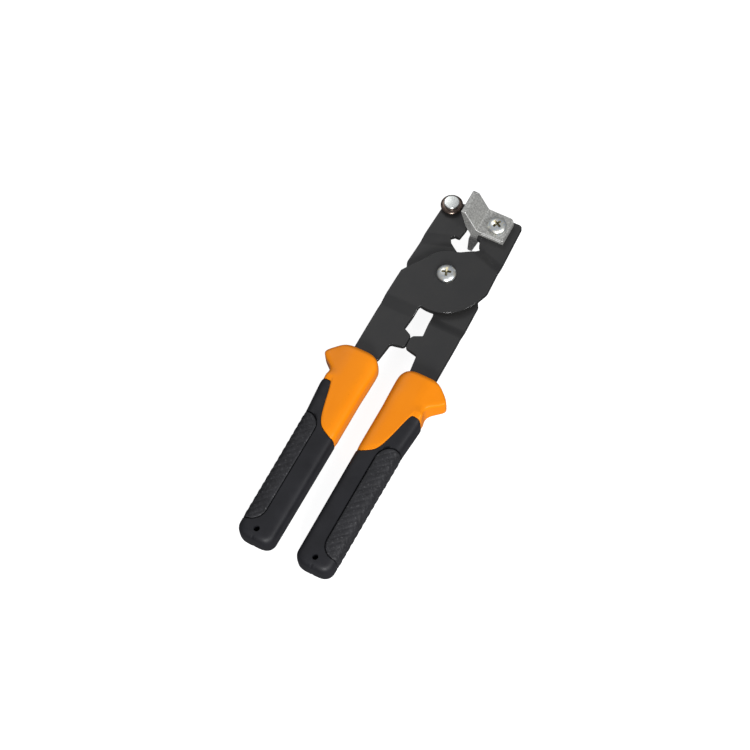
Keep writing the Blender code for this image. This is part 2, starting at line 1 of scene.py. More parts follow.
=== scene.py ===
"""Looks for a hand-held tile nibbler: two black steel levers on a pivot screw, a scoring wheel, an
aluminium breaker, and grips with an orange core, a soft black sleeve and a woven rubber pad.

Shapes are drawn in the tool's own frame, in millimetres: X across the levers, Y along the tool from
the pivot to the jaws, Z along the pivot axis, with Z 0 at the middle of the lever plates. TOOL
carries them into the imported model's frame, in metres.
"""

import json
import math

import bmesh
import bpy
import numpy as np
from mathutils import Matrix, Vector


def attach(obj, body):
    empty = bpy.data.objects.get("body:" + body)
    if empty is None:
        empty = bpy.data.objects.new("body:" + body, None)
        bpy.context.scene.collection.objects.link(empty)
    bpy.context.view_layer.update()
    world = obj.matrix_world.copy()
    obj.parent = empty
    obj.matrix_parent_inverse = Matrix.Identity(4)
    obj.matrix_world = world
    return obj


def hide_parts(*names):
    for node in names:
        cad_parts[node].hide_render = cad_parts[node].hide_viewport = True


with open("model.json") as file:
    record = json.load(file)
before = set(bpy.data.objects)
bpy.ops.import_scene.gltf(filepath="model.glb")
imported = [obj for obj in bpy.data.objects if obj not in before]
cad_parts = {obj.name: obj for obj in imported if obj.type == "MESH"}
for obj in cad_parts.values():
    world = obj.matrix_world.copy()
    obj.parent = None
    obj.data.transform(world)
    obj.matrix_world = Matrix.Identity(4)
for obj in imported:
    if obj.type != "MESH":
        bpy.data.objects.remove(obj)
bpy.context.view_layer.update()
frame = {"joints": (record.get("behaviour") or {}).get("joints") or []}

MM = 0.001
PIVOT = next(joint for joint in frame["joints"] if joint["name"] == "handle_pivot")
LEAN = math.atan2(-PIVOT["axis"][1], PIVOT["axis"][2])
PLACED = Matrix.Translation(PIVOT["pos_m"]) @ Matrix.Rotation(LEAN, 4, "X")
TOOL = PLACED @ Matrix.Scale(MM, 4)

FRONT = "front_lever_body"
REAR = "rear_lever_body"
WHEEL_BODY = "wheel_body"

# Levers
PLATE = 3.0
PLATE_GAP = 1.0
JOGGLE = (PLATE + PLATE_GAP) / 2
ARM_RAMP = (-35.5, -27.0)
JAW_RAMP = (18.0, 26.5)
JAW_SLANT = 0.33
JAW_SLANT_FROM = 13.0
RAMP_CUTS = 14
ARM_OUT = 27.0
ARM_OUT_AT_PIVOT = 26.2
FRONT_DISC_RADIUS = 26.6
REAR_DISC_RADIUS = 25.0
NECK_RADIUS = 16.8
JAW_TOP = 51.8
TANG_END = -184.0
TANG_HALF = 6.3
PLATE_EDGE = 0.38
PAST_JAW = 5.0
PAST_PIVOT = 10.0
STEEP_BELOW = 0.3
LEVEL_ABOVE = 0.9999

# Pivot and fasteners
M6 = 3.0
RUNNING_CLEARANCE = 0.1
BORE = M6 + RUNNING_CLEARANCE
CLEARANCE_HOLE = M6 + 0.3
THREAD_ROOT = 2.45
THREAD_CREST = M6 - 0.05
THREAD_PITCH = 1.0
THREAD_BURIED = 0.1
THREAD_FOOT = 0.42
THREAD_FLAT = 0.08
THREAD_MARGIN = 0.6
HEAD_RADIUS = 6.0
HEAD_HEIGHT = 3.5
HEAD_RIM = 0.7
RECESS_DEPTH = 2.2
RECESS_REACH = 3.8
RECESS_REACH_AT_BOTTOM = 1.1
RECESS_HALF = 0.75
SEAT_GAP = 0.15
SHIM_RADIUS = 10.0
WASHER_RADIUS = 6.2
LOCK_WASHER_RADIUS = 5.2
WASHER = 1.4
NUT_FLATS = 10.0
NUT_HEIGHT = 5.0
NUT_CHAMFER = 0.75
NUT_FACE_IN = 0.9
THREAD_PAST_NUT = 1.2
INSERT_HEIGHT = 1.6
HAIR = 0.01

# Breaker
BREAKER_Y = (33.9, 51.3)
BREAKER_SCREW = (12.9, 42.2)
FORK_OUTER = 5.9
FORK_END = 20.8
FORK_ROOT = 4.1
FORK_SLOT = PLATE / 2 + 0.3
WING_REACH = 21.4
UPPER_WING = {"foot": 3.1, "tip": (-7.4, -4.4), "knee": (-4.3, 5.6)}
LOWER_WING = {"foot": 4.4, "tip": (-3.7, -0.6), "knee": (-2.6, -7.6)}
V_APEX = (-1.2, -1.4)
TIP_ROUND = 2.6
FORK_CORNER = 3.0
GROOVE_SHARE = 0.62
GROOVE_HALF = 0.16
GROOVE_DEPTH = 0.4
BREAKER_EDGE = 0.28

# Scoring wheel
WHEEL_AT = (-19.6, 45.2)
WHEEL_RADIUS = 6.9
WHEEL = 2.4
WHEEL_BEVEL = (1.35, 0.45)
WHEEL_LAND = 0.3
AXLE_RADIUS = 2.5
WHEEL_BORE = AXLE_RADIUS + RUNNING_CLEARANCE
AXLE_HEAD_RADIUS = 4.65
AXLE_HEAD = 2.0
AXLE_TAIL_RADIUS = 4.0
AXLE_TAIL = 1.6
SPACER_RADIUS = 4.6
SPACER = 0.6

# Grips
GRIP_X = 19.1
GRIP_HALF = 12.3
GRIP_THICK = 8.6
GRIP_TOP = -67.8
GRIP_END = -203.4
GRIP_SQUARENESS = 4.0
GUARD_SQUARENESS = 11.0
GUARD_THINNING = 0.26
GUARD_Y = (-99.0, -91.0)
THINNING_X = (22.0, 40.0)
THINNING_Y = (-92.0, -86.0)
END_ROUND = 6.5
END_DOME = 4.5
NOSE_ROUND = 3.5
SEAM_LOW = -128.2
SEAM_RISE = 33.0
SEAM_SLOW = (8.0, 24.0)
SEAM_STEEP = (14.5, 27.1)
SEAM_STEEPNESS = 1.75
SEAM_SLOW_SHARE = 0.2
SEAM_PAST_TONGUE = SEAM_STEEP[1] + 2.6
SEAM_FALL = 0.08
SEAM_GAP = 0.3
SEAM_WITHIN = (GRIP_END + 20, -90.0)
PAD_X = 20.0
PAD_Y = (-193.5, -118.5)
PAD_CORNER = 9.0
PAD_GROOVE = 0.7
PAD_RECESS = 1.7
PAD_THICK = 1.5
WEAVE = 3.4
WEAVE_HEIGHT = 0.42
HANG_HOLE = 1.9
HANG_HOLE_Y = -197.2
HANG_HOLE_DEPTH = 6.0
LEFT_DROP = 1.3
LEFT_DROP_Y = (-140.0, -112.0)
ARM_SLOT_X = (9.4, ARM_OUT + 0.7)
ARM_SLOT_Y = (-75.0, -60.0)
MOULD_LINE = 0.3
GRID = 0.45

# The grip's edges, as (Y, distance from the tool's middle line), from the nose to the end.
OUTER_EDGE = [(GRIP_TOP, 26.5), (-68.9, 30.5), (-71.2, 33.8), (-74.0, 37.0), (-76.6, 39.4),
              (-78.4, 40.2), (-79.9, 39.4), (-82.4, 36.4), (-85.0, 33.0), (-87.0, 31.6),
              (-89.6, 31.1), (-93.0, 32.0), (-97.5, 32.9), (-105.0, 32.3), (-116.0, 31.3),
              (-150.0, 30.9), (GRIP_END, 30.6)]
INNER_EDGE = [(GRIP_TOP, 13.5), (-68.6, 10.6), (-70.8, 8.2), (-73.8, 6.7), (-78.0, 6.4),
              (-95.0, 7.0), (-128.0, 7.0), (-150.0, 7.1), (GRIP_END, 7.3)]


# Materials

# The ranges that most noise stays in
MIDDLE = (0.3, 0.7)
CLOUDY = (0.35, 0.65)


class Finish:
    """One procedural material, written as a short recipe of nodes."""

    def __init__(self, name, colour, metallic, roughness):
        self.material = bpy.data.materials.new(name)
        self.material.use_nodes = True
        self.tree = self.material.node_tree
        self.shader = self.tree.nodes["Principled BSDF"]
        self.shader.inputs["Metallic"].default_value = metallic
        self.shader.inputs["Base Color"].default_value = (*colour, 1.0)
        self.shader.inputs["Roughness"].default_value = roughness
        self.material.diffuse_color = (*colour, 1.0)
        self.place = self.add("TexCoord").outputs["Object"]
        self.relief = None

    def add(self, kind, inputs=None, **settings):
        node = self.tree.nodes.new("ShaderNode" + kind)
        for key, value in settings.items():
            setattr(node, key, value)
        for socket, value in (inputs or {}).items():
            if isinstance(value, bpy.types.NodeSocket):
                self.tree.links.new(value, node.inputs[socket])
            else:
                node.inputs[socket].default_value = value
        return node

    def stretched(self, scale):
        return self.add("Mapping", {"Vector": self.place, "Scale": scale}).outputs["Vector"]

    def noise(self, size_mm, detail=2.0, vector=None, distortion=0.0):
        """Noise whose features are about this size."""
        inputs = {"Vector": vector or self.place, "Scale": 1 / (size_mm * MM), "Detail": detail,
                  "Distortion": distortion}
        return self.add("TexNoise", inputs).outputs["Fac"]

    def cells(self, size_mm):
        """Distance to the nearest of cell points that are about this far apart."""
        inputs = {"Vector": self.place, "Scale": 1 / (size_mm * MM)}
        return self.add("TexVoronoi", inputs).outputs["Distance"]

    def remap(self, value, source, target=(0.0, 1.0)):
        """The value, limited to the source range and carried over to the target range."""
        inputs = {"Value": value, "From Min": source[0], "From Max": source[1],
                  "To Min": target[0], "To Max": target[1]}
        return self.add("MapRange", inputs).outputs["Result"]

    def edges(self, source, target):
        """High where the surface bulges out: along edges, where wear and painted edge highlights
        go.
        """
        return self.remap(self.add("NewGeometry").outputs["Pointiness"], source, target)

    def times(self, a, b):
        return self.add("Math", {0: a, 1: b}, operation="MULTIPLY").outputs[0]

    def mixed(self, factor, low, high):
        """A colour between low and high, each a colour or another socket."""
        low, high = (c if isinstance(c, bpy.types.NodeSocket) else (*c, 1.0) for c in (low, high))
        return self.add("Mix", {0: factor, 6: low, 7: high}, data_type="RGBA").outputs[2]

    def bump(self, height, depth_mm):
        """Adds relief of about this depth on top of what is there."""
        inputs = {"Height": height, "Distance": depth_mm * MM, "Strength": 1.0}
        if self.relief:
            inputs["Normal"] = self.relief
        self.relief = self.add("Bump", inputs).outputs["Normal"]
        self.tree.links.new(self.relief, self.shader.inputs["Normal"])

    def colour(self, socket):
        self.tree.links.new(socket, self.shader.inputs["Base Color"])

    def roughness(self, socket, source, target):
        """Roughness over the target range, as the socket goes over the source range."""
        remapped = self.remap(socket, source, target)
        self.tree.links.new(remapped, self.shader.inputs["Roughness"])

    def specular(self, level):
        self.shader.inputs["Specular IOR Level"].default_value = level


def painted_steel(name, tone):
    """Black stoving paint on stamped plate: fine orange peel and dust specks."""
    made = Finish(name, (0.017 * tone, 0.0167 * tone, 0.0168 * tone), 0.0, 0.36)
    cloud = made.remap(made.noise(14.0, 3.0), CLOUDY)
    speck = made.remap(made.noise(0.55, 4.0), (0.66, 0.76))
    base = made.mixed(cloud, (0.0195 * tone, 0.0195 * tone, 0.0199 * tone),
                      (0.0222 * tone, 0.0217 * tone, 0.0215 * tone))
    made.colour(made.mixed(made.times(speck, 0.3), base, (0.045, 0.045, 0.043)))
    made.specular(0.35)
    made.roughness(made.noise(5.0, 4.0), MIDDLE, (0.34, 0.40))
    made.bump(made.noise(0.9, 3.0), 0.006)
    return made.material


def glossy_edge():
    """Where the paint has drawn thin and glossy over the plates' rounded edges."""
    made = Finish("black_glossy_edge", (0.012, 0.012, 0.0122), 0.0, 0.2)
    made.roughness(made.noise(3.0, 3.0), MIDDLE, (0.16, 0.26))
    made.bump(made.noise(0.9, 3.0), 0.004)
    return made.material


def painted_shade_sides():
    """The plate's thin sheared sides: dull, with the die's vertical scoring, and coloured near
    black as painted shade.
    """
    made = Finish("black_sides_painted_shade", (0.006, 0.006, 0.006), 0.0, 0.62)
    scoring = made.noise(0.5, 3.0, made.stretched((1.0, 1.0, 0.15)))
    # Near-black colour on the sides is painted shade, darker than the paint on the faces.
    made.colour(made.mixed(scoring, (0.004, 0.004, 0.004), (0.010, 0.0098, 0.0095)))
    made.roughness(scoring, MIDDLE, (0.55, 0.75))
    made.specular(0.25)
    made.bump(scoring, 0.03)
    return made.material


def zinc(name, tint):
    """Zinc plating: bright, faintly blue and yellow where the chromate pooled."""
    made = Finish(name, (0.80, 0.81, 0.79), 1.0, 0.24)
    pool = made.remap(made.noise(2.6, 3.0, distortion=0.8), (0.42, 0.62))
    blue = made.remap(made.noise(1.9, 2.0), (0.5, 0.66), (0.0, 0.75))
    base = made.mixed(pool, (0.76, 0.78, 0.77), tint)
    base = made.mixed(blue, base, (0.62, 0.71, 0.82))
    hollow = made.edges((0.38, 0.48), (0.85, 0.0))
    made.colour(made.mixed(hollow, base, (0.40, 0.31, 0.13)))
    made.roughness(made.noise(1.2, 4.0), MIDDLE, (0.27, 0.42))
    made.bump(made.noise(0.5, 3.0), 0.005)
    return made.material


def recess_zinc():
    """The yellowish, unpolished zinc in a screw's cross recess."""
    made = Finish("recess_zinc", (0.34, 0.31, 0.20), 1.0, 0.5)
    stain = made.noise(0.8, 3.0)
    made.colour(made.mixed(stain, (0.24, 0.21, 0.12), (0.44, 0.41, 0.30)))
    made.roughness(stain, MIDDLE, (0.42, 0.6))
    return made.material


def rivet_steel():
    """A polished rivet head with faint turning marks."""
    made = Finish("bright_rivet_steel", (0.82, 0.84, 0.82), 1.0, 0.3)
    made.colour(made.mixed(made.noise(2.0, 3.0), (0.76, 0.79, 0.77), (0.88, 0.90, 0.87)))
    made.roughness(made.noise(0.8, 4.0), MIDDLE, (0.24, 0.42))
    made.bump(made.noise(0.35, 2.0), 0.01)
    return made.material


def aluminium(name, low, high):
    """Cast and linished aluminium: drag lines and pits over a coarse grain between two tones."""
    made = Finish(name, high, 0.65, 0.55)
    drag = made.noise(0.45, 4.0, made.stretched((1.0, 0.12, 1.0)))
    grain = made.noise(0.95, 5.0)
    pits = made.remap(made.cells(1.5), (0.0, 0.25), (1.0, 0.0))
    base = made.mixed(made.remap(grain, (0.40, 0.60)), low, high)
    made.colour(made.mixed(made.times(pits, 0.5), base, low))
    made.roughness(drag, MIDDLE, (0.44, 0.62))
    made.bump(drag, 0.06)
    made.bump(grain, 0.09)
    return made.material


def carbide():
    """Dark bronze-brown hard metal, paler along its rim: partly ground bright, partly a painted
    highlight.
    """
    made = Finish("bronzed_carbide", (0.20, 0.155, 0.13), 1.0, 0.28)
    base = made.mixed(made.remap(made.noise(1.6, 4.0), CLOUDY),
                      (0.095, 0.070, 0.060), (0.19, 0.145, 0.12))
    # Paler rim from pointiness: partly the ground rim, partly a painted highlight.
    made.colour(made.mixed(made.edges((0.54, 0.66), (0.0, 0.8)), base, (0.58, 0.50, 0.42)))
    made.roughness(made.noise(0.6, 3.0), MIDDLE, (0.20, 0.38))
    made.bump(made.noise(0.3, 2.0), 0.008)
    return made.material


def nylon():
    """Off-white nylon, faintly mottled."""
    made = Finish("white_nylon", (0.78, 0.78, 0.73), 0.0, 0.48)
    made.colour(made.mixed(made.noise(1.5, 3.0), (0.72, 0.72, 0.66), (0.84, 0.84, 0.80)))
    made.roughness(made.noise(0.8, 3.0), MIDDLE, (0.40, 0.55))
    made.bump(made.noise(0.4, 2.0), 0.02)
    return made.material


def orange_plastic():
    """Moulded orange plastic: an even satin grain, slow flow marks and paler edges, partly from
    wear and partly a painted highlight.
    """
    made = Finish("orange_moulded_plastic", (0.72, 0.207, 0.003), 0.0, 0.36)
    flow = made.remap(made.noise(16.0, 3.0, made.stretched((1.0, 0.45, 1.0)), 0.6), CLOUDY)
    base = made.mixed(flow, (0.705, 0.200, 0.0022), (0.735, 0.214, 0.0034))
    # Paler orange on convex edges: partly wear, partly a painted highlight.
    made.colour(made.mixed(made.edges((0.53, 0.62), (0.0, 0.5)), base, (0.84, 0.28, 0.006)))
    made.roughness(made.noise(3.0, 5.0), MIDDLE, (0.31, 0.43))
    made.specular(0.16)
    made.bump(made.noise(0.35, 3.0), 0.018)
    return made.material


def soft_rubber():
    """The sleeve's satin rubber: fine leather-like grain, paler on its convex edges, partly from
    wear and partly as a painted highlight.
    """
    made = Finish("black_soft_rubber", (0.0175, 0.0175, 0.020), 0.0, 0.55)
    cloud = made.remap(made.noise(11.0, 4.0), CLOUDY)
    base = made.mixed(cloud, (0.0072, 0.0073, 0.0092), (0.0098, 0.0099, 0.0124))
    dust = made.remap(made.noise(0.45, 5.0), (0.66, 0.76), (0.0, 0.3))
    base = made.mixed(dust, base, (0.055, 0.055, 0.055))
    # Paler grey on convex edges: partly wear, partly a painted highlight.
    made.colour(made.mixed(made.edges((0.54, 0.66), (0.0, 0.5)), base, (0.06, 0.06, 0.064)))
    made.roughness(made.noise(4.0, 5.0), MIDDLE, (0.46, 0.60))
    made.specular(0.3)
    made.bump(made.cells(0.42), 0.02)
    made.bump(made.noise(1.4, 3.0), 0.02)
    return made.material


def pad_rubber():
    """The pad's matt rubber: light flecks on the tops of the weave, partly greyed by handling and
    partly a painted highlight.
    """
    made = Finish("black_pad_rubber", (0.020, 0.020, 0.022), 0.0, 0.68)
    cloud = made.remap(made.noise(7.0, 4.0), CLOUDY)
    base = made.mixed(cloud, (0.0080, 0.0081, 0.0098), (0.0150, 0.0151, 0.0175))
    # Light flecks on the weave's crests: partly handling wear, partly a painted highlight.
    fleck = made.remap(made.noise(1.1, 3.0), (0.57, 0.68))
    worn_and_highlit = made.times(fleck, made.edges((0.50, 0.58), (0.15, 1.0)))
    made.colour(made.mixed(worn_and_highlit, base, (0.105, 0.105, 0.11)))
    made.roughness(made.noise(2.0, 5.0), MIDDLE, (0.58, 0.76))
    made.specular(0.35)
    made.bump(made.noise(0.5, 4.0), 0.06)
    return made.material


# Mesh helpers


def rounded(corners, step=9.0):
    """Closed outline through corners of (x, y, radius), each radius drawn as an arc."""
    points = []
    count = len(corners)
    for i, (x, y, radius) in enumerate(corners):
        here = Vector((x, y))
        if not radius:
            points.append(here)
            continue
        before = (Vector(corners[i - 1][:2]) - here).normalized()
        after = (Vector(corners[(i + 1) % count][:2]) - here).normalized()
        half = before.angle(after) / 2
        centre = here + (before + after).normalized() * radius / math.sin(half)
        start = here + before * radius / math.tan(half) - centre
        sweep = (math.pi - 2 * half) * (1 if before.cross(after) < 0 else -1)
        steps = max(2, math.ceil(abs(sweep) / math.radians(step)))
        for k in range(steps + 1):
            points.append(centre + Matrix.Rotation(sweep * k / steps, 2) @ start)
    return points


def arc(radius, start, end, steps):
    """Points round the pivot axis, from one angle to the other in degrees."""
    angles = [math.radians(start + (end - start) * k / steps) for k in range(steps + 1)]
    return [Vector((radius * math.cos(a), radius * math.sin(a))) for a in angles]


def prism(points, low, high, axis="Z"):
    """A closed solid: an outline extruded along Z, or along X from (y, z) points, or along Y."""
    place = {"Z": lambda p, h: (p[0], p[1], h), "X": lambda p, h: (h, p[0], p[1]),
             "Y": lambda p, h: (p[0], h, p[1])}[axis]
    shape = bmesh.new()
    ends = [[shape.verts.new(place(p, h)) for p in points] for h in (low, high)]
    shape.faces.new(ends[0])
    shape.faces.new(ends[1][::-1])
    for k in range(len(points)):
        shape.faces.new((ends[0][k], ends[0][k - 1], ends[1][k - 1], ends[1][k]))
    return shape


def lathe(corners, centre=(0.0, 0.0), steps=64, step=15.0):
    """A solid turned round the Z line through centre, from (radius, z, fillet) corners."""
    shape = bmesh.new()
    rings = []
    for r, z in rounded(corners, step):
        if r < 1e-6:
            rings.append([shape.verts.new((*centre, z))] * steps)
            continue
        angles = [math.tau * k / steps for k in range(steps)]
        rings.append([shape.verts.new((centre[0] + r * math.cos(a), centre[1] + r * math.sin(a), z))
                      for a in angles])
    for a, b in zip(rings, rings[1:] + rings[:1]):
        if a[0] is a[1] and b[0] is b[1]:
            continue
        for k in range(steps):
            n = (k + 1) % steps
            shape.faces.new(list(dict.fromkeys((a[k], a[n], b[n], b[k]))))
    return shape


def thread(shape, centre, low, high):
    """Adds a helical thread ridge round a shank, as a closed shell of its own."""
    per_turn = 32
    steps = int(per_turn * (high - low) / THREAD_PITCH)
    rows = []
    for k in range(steps + 1):
        angle = math.tau * k / per_turn
        z = low + THREAD_PITCH * k / per_turn
        fade = min(1.0, k / per_turn * 2, (steps - k) / per_turn * 2)
        crest = THREAD_ROOT + (THREAD_CREST - THREAD_ROOT) * fade
        foot = THREAD_ROOT - THREAD_BURIED
        profile = ((foot, z - THREAD_FOOT), (crest, z - THREAD_FLAT), (crest, z + THREAD_FLAT),
                   (foot, z + THREAD_FOOT))
        rows.append([shape.verts.new((centre[0] + r * math.cos(angle),
                                      centre[1] + r * math.sin(angle), h)) for r, h in profile])
    for a, b in zip(rows, rows[1:]):
        for k in range(4):
            n = (k + 1) % 4
            shape.faces.new((a[k], a[n], b[n], b[k]))
    shape.faces.new(rows[0])
    shape.faces.new(rows[-1][::-1])


def linked(name, data):
    """A new object in the scene."""
    made = bpy.data.objects.new(name, data)
    bpy.context.scene.collection.objects.link(made)
    return made


def as_object(name, shape):
    """A new object in the tool's millimetres, from a bmesh."""
    bmesh.ops.recalc_face_normals(shape, faces=shape.faces)
    mesh = bpy.data.meshes.new(name)
    shape.to_mesh(mesh)
    shape.free()
    return linked(name, mesh)


def combine(target, cutter, operation="DIFFERENCE"):
    """Applies one exact boolean to the target, welds its slivers and removes the cutter."""
    weld = 0.001
    tool = as_object(f"{target.name}_cutter", cutter)
    boolean = target.modifiers.new("boolean", "BOOLEAN")
    boolean.object = tool
    boolean.operation = operation
    boolean.solver = "EXACT"
    graph = bpy.context.evaluated_depsgraph_get()
    mesh = bpy.data.meshes.new_from_object(target.evaluated_get(graph))
    target.modifiers.clear()
    shape = bmesh.new()
    shape.from_mesh(mesh)
    bmesh.ops.remove_doubles(shape, verts=shape.verts, dist=weld)
    bmesh.ops.dissolve_degenerate(shape, edges=shape.edges, dist=weld)
    shape.to_mesh(mesh)
    shape.free()
    target.data = mesh
    bpy.data.objects.remove(tool)


def drill(target, radius, centre, low, high, countersink=0.0):
    """A round hole along Z, with its rims broken by a small countersink."""
    wide = radius + countersink
    corners = [(0, low, 0), (wide, low, 0), (radius, low + countersink, 0),
               (radius, high - countersink, 0), (wide, high, 0), (0, high, 0)]
    combine(target, lathe(corners, centre, 48))


def is_steep(face):
    return abs(face.normal.z) < STEEP_BELOW


def finish_piece(made, body, nodes, slot, material, bevel=0.0, sharp=38.0, side_material=None,
                 is_side=is_steep, edge_material=None, flat_faces=False):
    """Places a piece drawn in millimetres, gives it its finish and lets it ride on a body.

    side_material goes on the faces that is_side picks, and edge_material on the bevel.
    """
    sides = [int(is_side(face)) for face in made.data.polygons]
    sloping = [abs(face.normal.z) < LEVEL_ABOVE for face in made.data.polygons]
    made.data.transform(TOOL)
    made.data.materials.clear()
    made.data.materials.append(material)
    if side_material:
        made.data.materials.append(side_material)
        made.data.polygons.foreach_set("material_index", sides)
    if edge_material:
        made.data.materials.append(edge_material)
    made.data.shade_smooth()
    if flat_faces:
        made.data.polygons.foreach_set("use_smooth", sloping)
    if bevel:
        edge = made.modifiers.new("edge", "BEVEL")
        edge.width = bevel * MM
        edge.segments = 3
        edge.limit_method = "ANGLE"
        edge.angle_limit = math.radians(sharp)
        edge.use_clamp_overlap = not edge_material
        edge.material = len(made.data.materials) - 1 if edge_material else 0
        made.modifiers.new("even_faces", "WEIGHTED_NORMAL").weight = 100
    else:
        made.data.set_sharp_from_angle(angle=math.radians(sharp))
    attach(made, body)
    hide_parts(*nodes)


def smooth(t):
    """Eases from 0 to 1 as t goes from 0 to 1."""
    t = np.clip(t, 0.0, 1.0)
    return t * t * (3 - 2 * t)


def rise(value, span):
    """Eases from 0 to 1 as the value crosses the span."""
    return smooth((value - span[0]) / (span[1] - span[0]))


# Levers


def joggle(x, y):
    """How far the plate has stepped away from the middle plane: 1 at the pivot, 0 at the ends."""
    along = y + JAW_SLANT * (abs(x) - JAW_SLANT_FROM)
    return rise(y, ARM_RAMP) * (1 - rise(along, JAW_RAMP))


def lever_outline(jaw, disc_radius):
    """Outline of the lever whose arm is at -X and whose jaw, given as corners, is at +X."""
    outside, inside = -GRIP_X - TANG_HALF, -GRIP_X + TANG_HALF
    tang = [(outside, -73.6, 1.5), (outside, TANG_END, 5.0), (inside, TANG_END, 5.0),
            (inside, -74.0, 2.0), (-10.2, -68.0, 1.5)]
    stop = [(-8.7, -56.2, 1.4), (-0.2, -54.4, 2.2), (-0.2, -45.8, 2.6), (-6.1, -42.9, 0.8),
            (-4.6, -27.5, 0.0)]
    notch = [(8.2, 27.0, 0.9), (10.2, 25.2, 0.4), (8.4, 22.6, 0.6), (0.6, 17.6, 1.0)]
    shoulder = [(-24.6, -6.8, 0.6), (-ARM_OUT_AT_PIVOT, -9.4, 2.4), (-ARM_OUT, -40.0, 0.0),
                (-ARM_OUT, -69.6, 1.5)]
    lower_disc = arc(disc_radius, -99.0, -15.5, 42)
    neck = arc(NECK_RADIUS, 96.0, 158.0, 30)
    corners = tang + stop + [(*p, 0.0) for p in lower_disc] + jaw + notch
    corners += [(*p, 0.0) for p in neck] + shoulder
    return rounded(corners)


def bent_plate(name, jaw, disc_radius, side):
    """A joggled plate: side 1 steps up at the pivot, side -1 is the mirror image and steps down."""
    points = [Vector((p[0] * side, p[1])) for p in lever_outline(jaw, disc_radius)]
    shape = bmesh.new()
    shape.faces.new([shape.verts.new((p[0], p[1], -PLATE / 2)) for p in points])
    slanted = (side * JAW_SLANT, 1.0, 0.0)
    for (low, high), normal in ((ARM_RAMP, (0.0, 1.0, 0.0)), (JAW_RAMP, slanted)):
        for k in range(RAMP_CUTS + 1):
            at = low + (high - low) * k / RAMP_CUTS
            everything = shape.verts[:] + shape.edges[:] + shape.faces[:]
            bmesh.ops.bisect_plane(shape, geom=everything, plane_no=normal,
                                   plane_co=(side * JAW_SLANT_FROM, at, 0))
    for vert in shape.verts:
        vert.co.z += side * JOGGLE * joggle(vert.co.x, vert.co.y)
    grown = bmesh.ops.extrude_face_region(shape, geom=shape.faces[:])
    moved = [item for item in grown["geom"] if isinstance(item, bmesh.types.BMVert)]
    bmesh.ops.translate(shape, verts=moved, vec=(0, 0, PLATE))
    made = as_object(name, shape)
    drill(made, BORE, (0, 0), -PAST_PIVOT, PAST_PIVOT)
    return made


def levers(material, far_material, side_material, edge_material):
    """Both plates, each jaw given as its corners from the disc round to the window."""
    right_jaw = [(27.9, -1.0, 6.0), (27.4, 10.0, 8.0), (25.8, JAW_TOP, 2.5),
                 (4.4, JAW_TOP, 0.0), (4.4, 31.6, 0.6), (6.8, 30.8, 0.8)]
    left_jaw = [(26.8, -1.0, 6.0), (26.2, 10.0, 8.0), (24.4, 50.2, 2.5),
                (4.0, 50.2, 1.2), (4.1, 34.0, 0.0), (5.1, 27.2, 0.8)]
    plate_finish = {"bevel": PLATE_EDGE, "side_material": side_material,
                    "edge_material": edge_material, "flat_faces": True}
    front = bent_plate("front_plate", right_jaw, FRONT_DISC_RADIUS, 1)
    drill(front, CLEARANCE_HOLE, BREAKER_SCREW, -PAST_JAW, PAST_JAW)
    finish_piece(front, FRONT, ["front_lever"], "black_steel", material, **plate_finish)
    rear = bent_plate("rear_plate", left_jaw, REAR_DISC_RADIUS, -1)
    drill(rear, WHEEL_BORE, WHEEL_AT, -PAST_JAW, PAST_JAW)
    finish_piece(rear, REAR, ["rear_lever"], "black_steel", far_material, **plate_finish)


# Fasteners


def cross_arm(centre, top, angle):
    """One tapered arm of a cross recess, from above the head down to its bottom."""
    shape = bmesh.new()
    rows = []
    for z, reach, half in ((top + 0.5, RECESS_REACH, RECESS_HALF * 1.15),
                           (top - RECESS_DEPTH, RECESS_REACH_AT_BOTTOM, RECESS_HALF * 0.6)):
        corners = ((-reach, -half), (reach, -half), (reach, half), (-reach, half))
        rows.append([shape.verts.new((x, y, z)) for x, y in corners])
    shape.faces.new(rows[0])
    shape.faces.new(rows[1][::-1])
    for k in range(4):
        n = (k + 1) % 4
        shape.faces.new((rows[0][n], rows[0][k], rows[1][k], rows[1][n]))
    shape.transform(Matrix.Translation((*centre, 0)) @ Matrix.Rotation(math.radians(angle), 4, "Z"))
    return shape


def pan_screw(name, centre, seat, end, turn, nodes, material, recess):
    """A pan head machine screw with a domed head, a cross recess and a threaded shank."""
    top = seat + HEAD_HEIGHT
    corners = [(0, end, 0), (THREAD_ROOT - 0.4, end, 0), (THREAD_ROOT, end + 0.5, 0),
               (THREAD_ROOT, seat, 0), (HEAD_RADIUS - 0.1, seat, 0.08)]
    dome_foot, dome_height = seat + HEAD_RIM, HEAD_HEIGHT - HEAD_RIM
    dome = [math.radians(6 * k) for k in range(16)]
    corners += [(HEAD_RADIUS * math.cos(a), dome_foot + dome_height * math.sin(a), 0) for a in dome]
    made = as_object(name, lathe(corners, centre, 72, 8.0))
    for quarter in (0, 90):
        combine(made, cross_arm(centre, top, turn + quarter))
    shape = bmesh.new()
    shape.from_mesh(made.data)
    thread(shape, centre, end + THREAD_MARGIN, seat - THREAD_MARGIN)
    bmesh.ops.recalc_face_normals(shape, faces=shape.faces)
    shape.to_mesh(made.data)
    shape.free()

    def in_recess(face):
        x, y, z = face.center
        out = math.hypot(x - centre[0], y - centre[1])
        if out > RECESS_REACH or z < top - RECESS_DEPTH - 0.1:
            return False
        return z < dome_foot + dome_height * math.sqrt(1 - (out / HEAD_RADIUS) ** 2) - 0.12

    finish_piece(made, FRONT, nodes, "zinc_steel", material, sharp=32.0, side_material=recess,
                 is_side=in_recess)


def ring(name, centre, inner, outer, low, high, body, nodes, slot, material):
    """A flat washer with softened rims."""
    soft = min(0.22, (high - low) * 0.3)
    corners = [(inner, low, 0), (outer, low, soft), (outer, high, soft), (inner, high, 0)]
    finish_piece(as_object(name, lathe(corners, centre)), body, nodes, slot, material)


